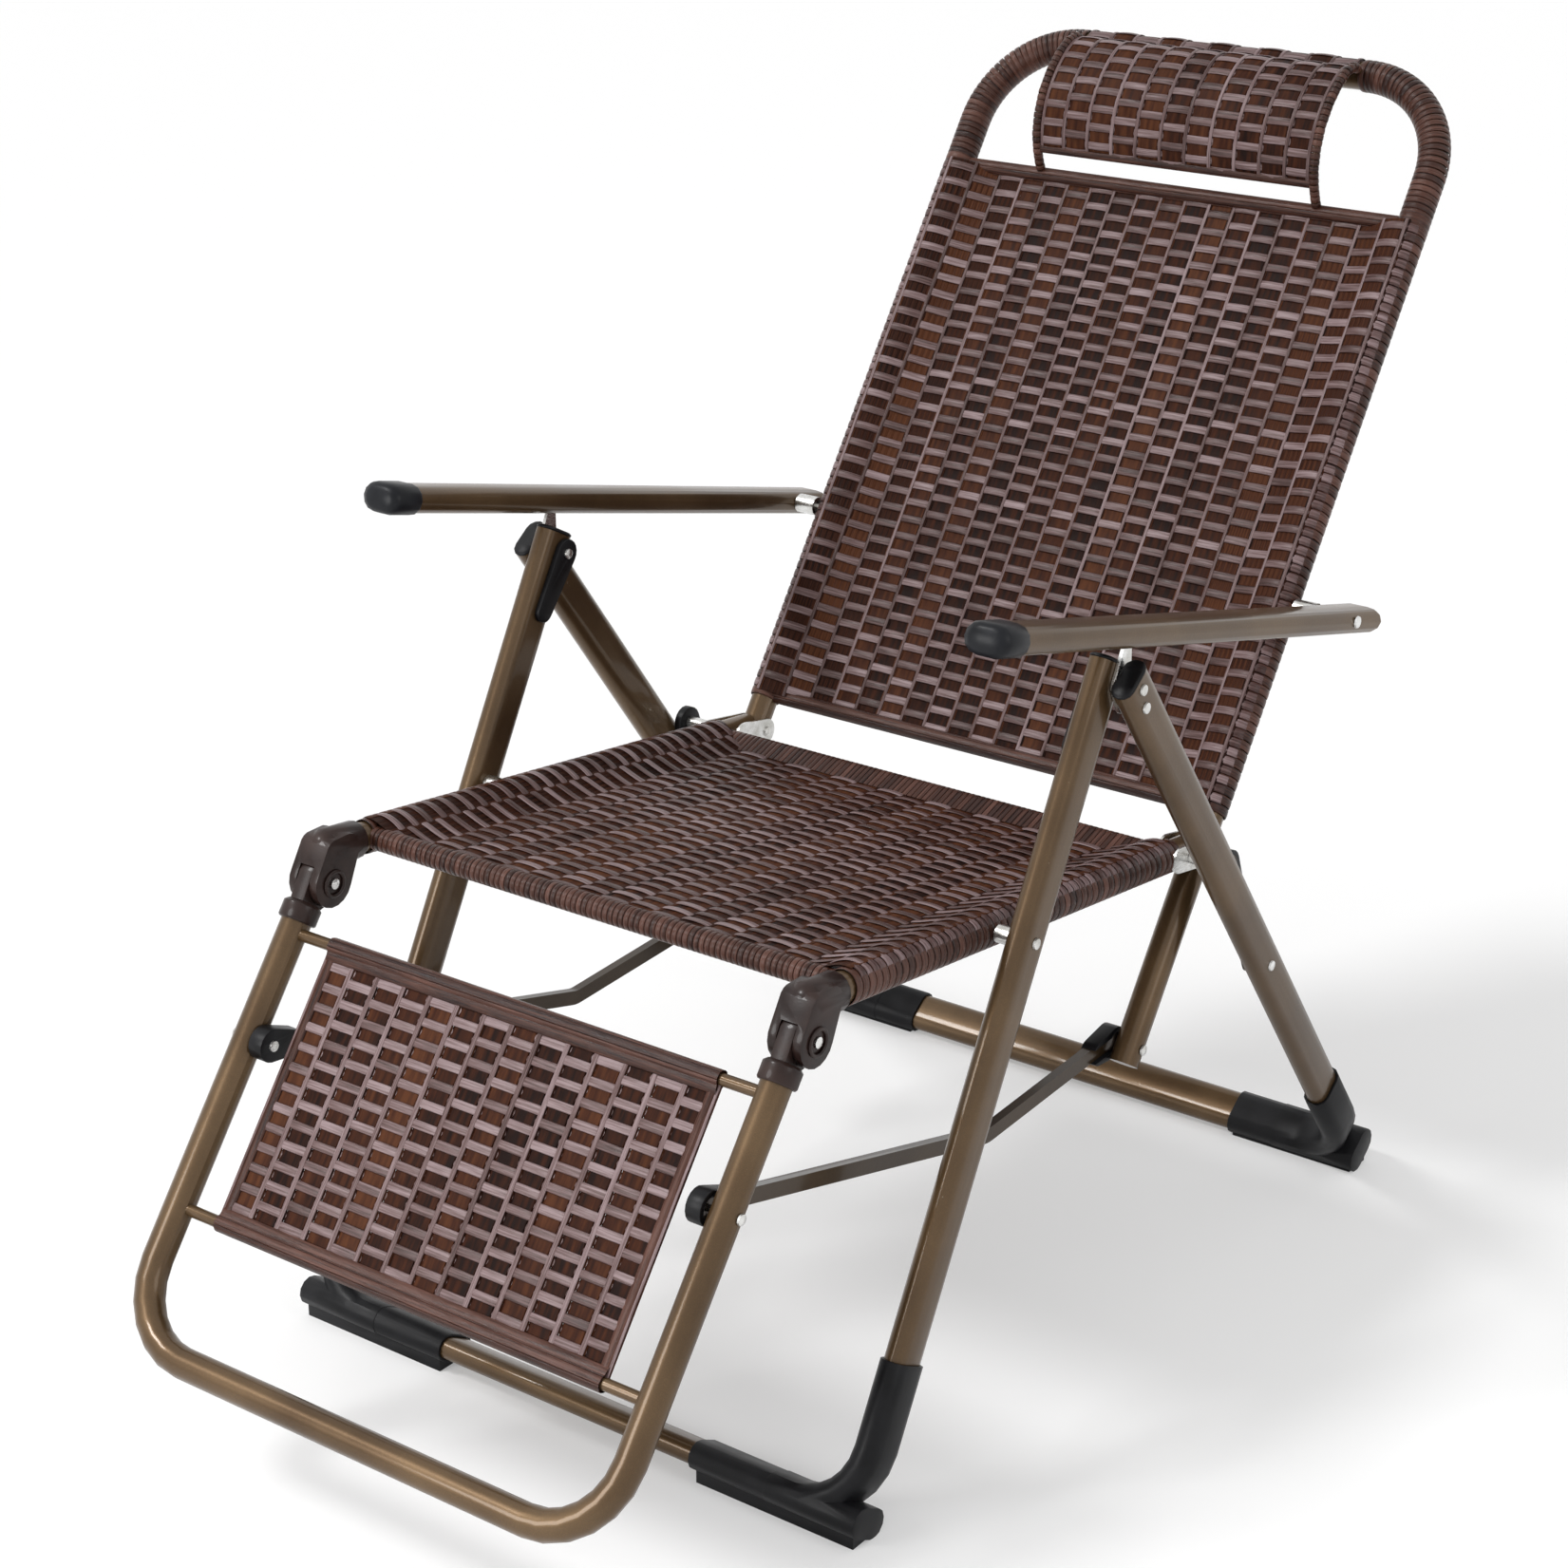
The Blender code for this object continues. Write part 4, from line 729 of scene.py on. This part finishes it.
def knuckle_rims():
    """A moulded rim round each knuckle bolt, on both faces of the knuckle."""
    turns, sides = 40, 10
    ring_radius, rim_radius, rim_depth, inset = 0.0102, 0.0017, 0.0014, 0.0016
    for place in ("left", "right"):
        low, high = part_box("knuckle_bolt_" + place)
        centre = (low + high) / 2
        mesh = bpy.data.meshes.new("knuckle_rim_" + place)
        points, faces = [], []
        for face_x in (low.x + inset, high.x - inset):
            base = len(points)
            for i in range(turns):
                a = 2 * math.pi * i / turns
                for k in range(sides):
                    b = 2 * math.pi * k / sides
                    radius = ring_radius + rim_radius * math.cos(b)
                    points.append((face_x + rim_depth * math.sin(b),
                                   centre.y + radius * math.cos(a),
                                   centre.z + radius * math.sin(a)))
                    after_i, after_k = (i + 1) % turns * sides, (k + 1) % sides
                    corners = (i * sides + k, after_i + k, after_i + after_k, i * sides + after_k)
                    faces.append(tuple(base + corner for corner in corners))
        mesh.from_pydata(points, [], faces)
        mesh.polygons.foreach_set("use_smooth", [True] * len(mesh.polygons))
        mesh.materials.append(FINISH["knuckle_plastic"])
        rim = bpy.data.objects.new(mesh.name, mesh)
        bpy.context.scene.collection.objects.link(rim)
        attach(rim, "seat")


BACK_FRONT = np.cross(X, BACK_DIR)
Panel(SEAT_POINT, SEAT_DIR, SEAT_FRONT, SEAT_REAR, TUBE_COLUMNS, INNER, RAIL_R, None).build(
    "seat", "seat", ["seat_weave"])
Panel(BACK_POINT, BACK_DIR, BACK_LOW, BACK_HIGH, TUBE_COLUMNS, INNER, ROD_R, JOIN_WIDE).build(
    "back", "back", ["back_weave"])
Panel(FOOT_POINT, FOOT_DIR, -FOOT_LOW, -FOOT_HIGH, FOOT_COLUMNS, FOOT_HALF, ROD_R,
      FOOT_JOIN_WIDE, folded=True).build("footrest", "footrest", ["footrest_weave"])
top_loop()
headrest()
knuckle_rims()


# Stage: a plain white floor and surround, a soft key light and two weak lamps
def blended(tree, share, first, second, output):
    """The first shader, with this share of the second, as the surface of the output node."""
    blend = tree.nodes.new("ShaderNodeMixShader")
    tree.links.new(share.outputs["Value"], blend.inputs["Fac"])
    tree.links.new(first, blend.inputs[1])
    tree.links.new(second, blend.inputs[2])
    tree.links.new(blend.outputs["Shader"], tree.nodes[output].inputs["Surface"])


def white_floor(reach=14.0, level=CAD_LOW.z):
    mesh = bpy.data.meshes.new("floor")
    corners = ((-reach, -reach), (reach, -reach), (reach, reach), (-reach, reach))
    mesh.from_pydata([(*corner, level) for corner in corners], [], [(0, 1, 2, 3)])
    floor = bpy.data.objects.new("floor", mesh)
    bpy.context.scene.collection.objects.link(floor)
    paint, tree, bsdf = material("floor")
    settings(bsdf, Base_Color=(0.97, 0.97, 0.97, 1), Roughness=0.9, Specular_IOR_Level=0.1)
    glow = node(tree, "ShaderNodeEmission", Color=(1, 1, 1, 1))
    share = maths(tree, "MULTIPLY", (seen_rays(tree), "Value"), 0.30)
    blended(tree, share, bsdf.outputs["BSDF"], glow.outputs["Emission"], "Material Output")
    mesh.materials.append(paint)


def white_surround():
    world = bpy.data.worlds.new("surround")
    bpy.context.scene.world = world
    world.use_nodes = True
    tree = world.node_tree
    ground = tree.nodes["Background"]
    place = tree.nodes.new("ShaderNodeTexCoord")
    height = node(tree, "ShaderNodeSeparateXYZ", Vector=(place, "Generated"))
    sky = ramp(tree, height, ((0.0, 0.42), (0.35, 0.55), (0.9, 0.95)), "Z")
    tree.links.new(sky.outputs["Color"], ground.inputs["Color"])
    settings(ground, Strength=0.85)
    seen = node(tree, "ShaderNodeBackground", Color=(1, 1, 1, 1), Strength=1.0)
    blended(tree, seen_rays(tree), ground.outputs["Background"], seen.outputs["Background"],
            "World Output")


def aimed(obj, way):
    obj.rotation_euler = Vector(way).to_track_quat("-Z", "Y").to_euler()
    bpy.context.scene.collection.objects.link(obj)


def lamp(name, place, aim, size, power):
    light = bpy.data.lights.new(name, "AREA")
    light.shape, light.size, light.energy = "DISK", size, power
    obj = bpy.data.objects.new(name, light)
    obj.location = place
    aimed(obj, Vector(aim) - Vector(place))


white_floor()
white_surround()
lamp("fill", (2.6, -0.4, 1.8), (0, 0, 0.5), 1.6, 12)
lamp("front", (-0.7, -2.2, 1.0), (0, -0.5, 0.3), 0.9, 19)
sun = bpy.data.lights.new("key", "SUN")
sun.energy, sun.angle = 1.5, math.radians(14)
aimed(bpy.data.objects.new("key", sun), (1.5, 1.5, -2.5))

# Camera, as fitted to the photograph
view = bpy.data.cameras.new("camera")
view.lens, view.sensor_fit = 74.53, "HORIZONTAL"
view.sensor_width = view.sensor_height = 36
camera = bpy.data.objects.new("camera", view)
camera.location = (1.49192, -2.074094, 1.45949)
camera.rotation_euler = (math.radians(68.2965), 0, math.radians(36.6875))
bpy.context.scene.collection.objects.link(camera)
bpy.context.scene.camera = camera
bpy.context.scene.view_settings.view_transform = "Standard"
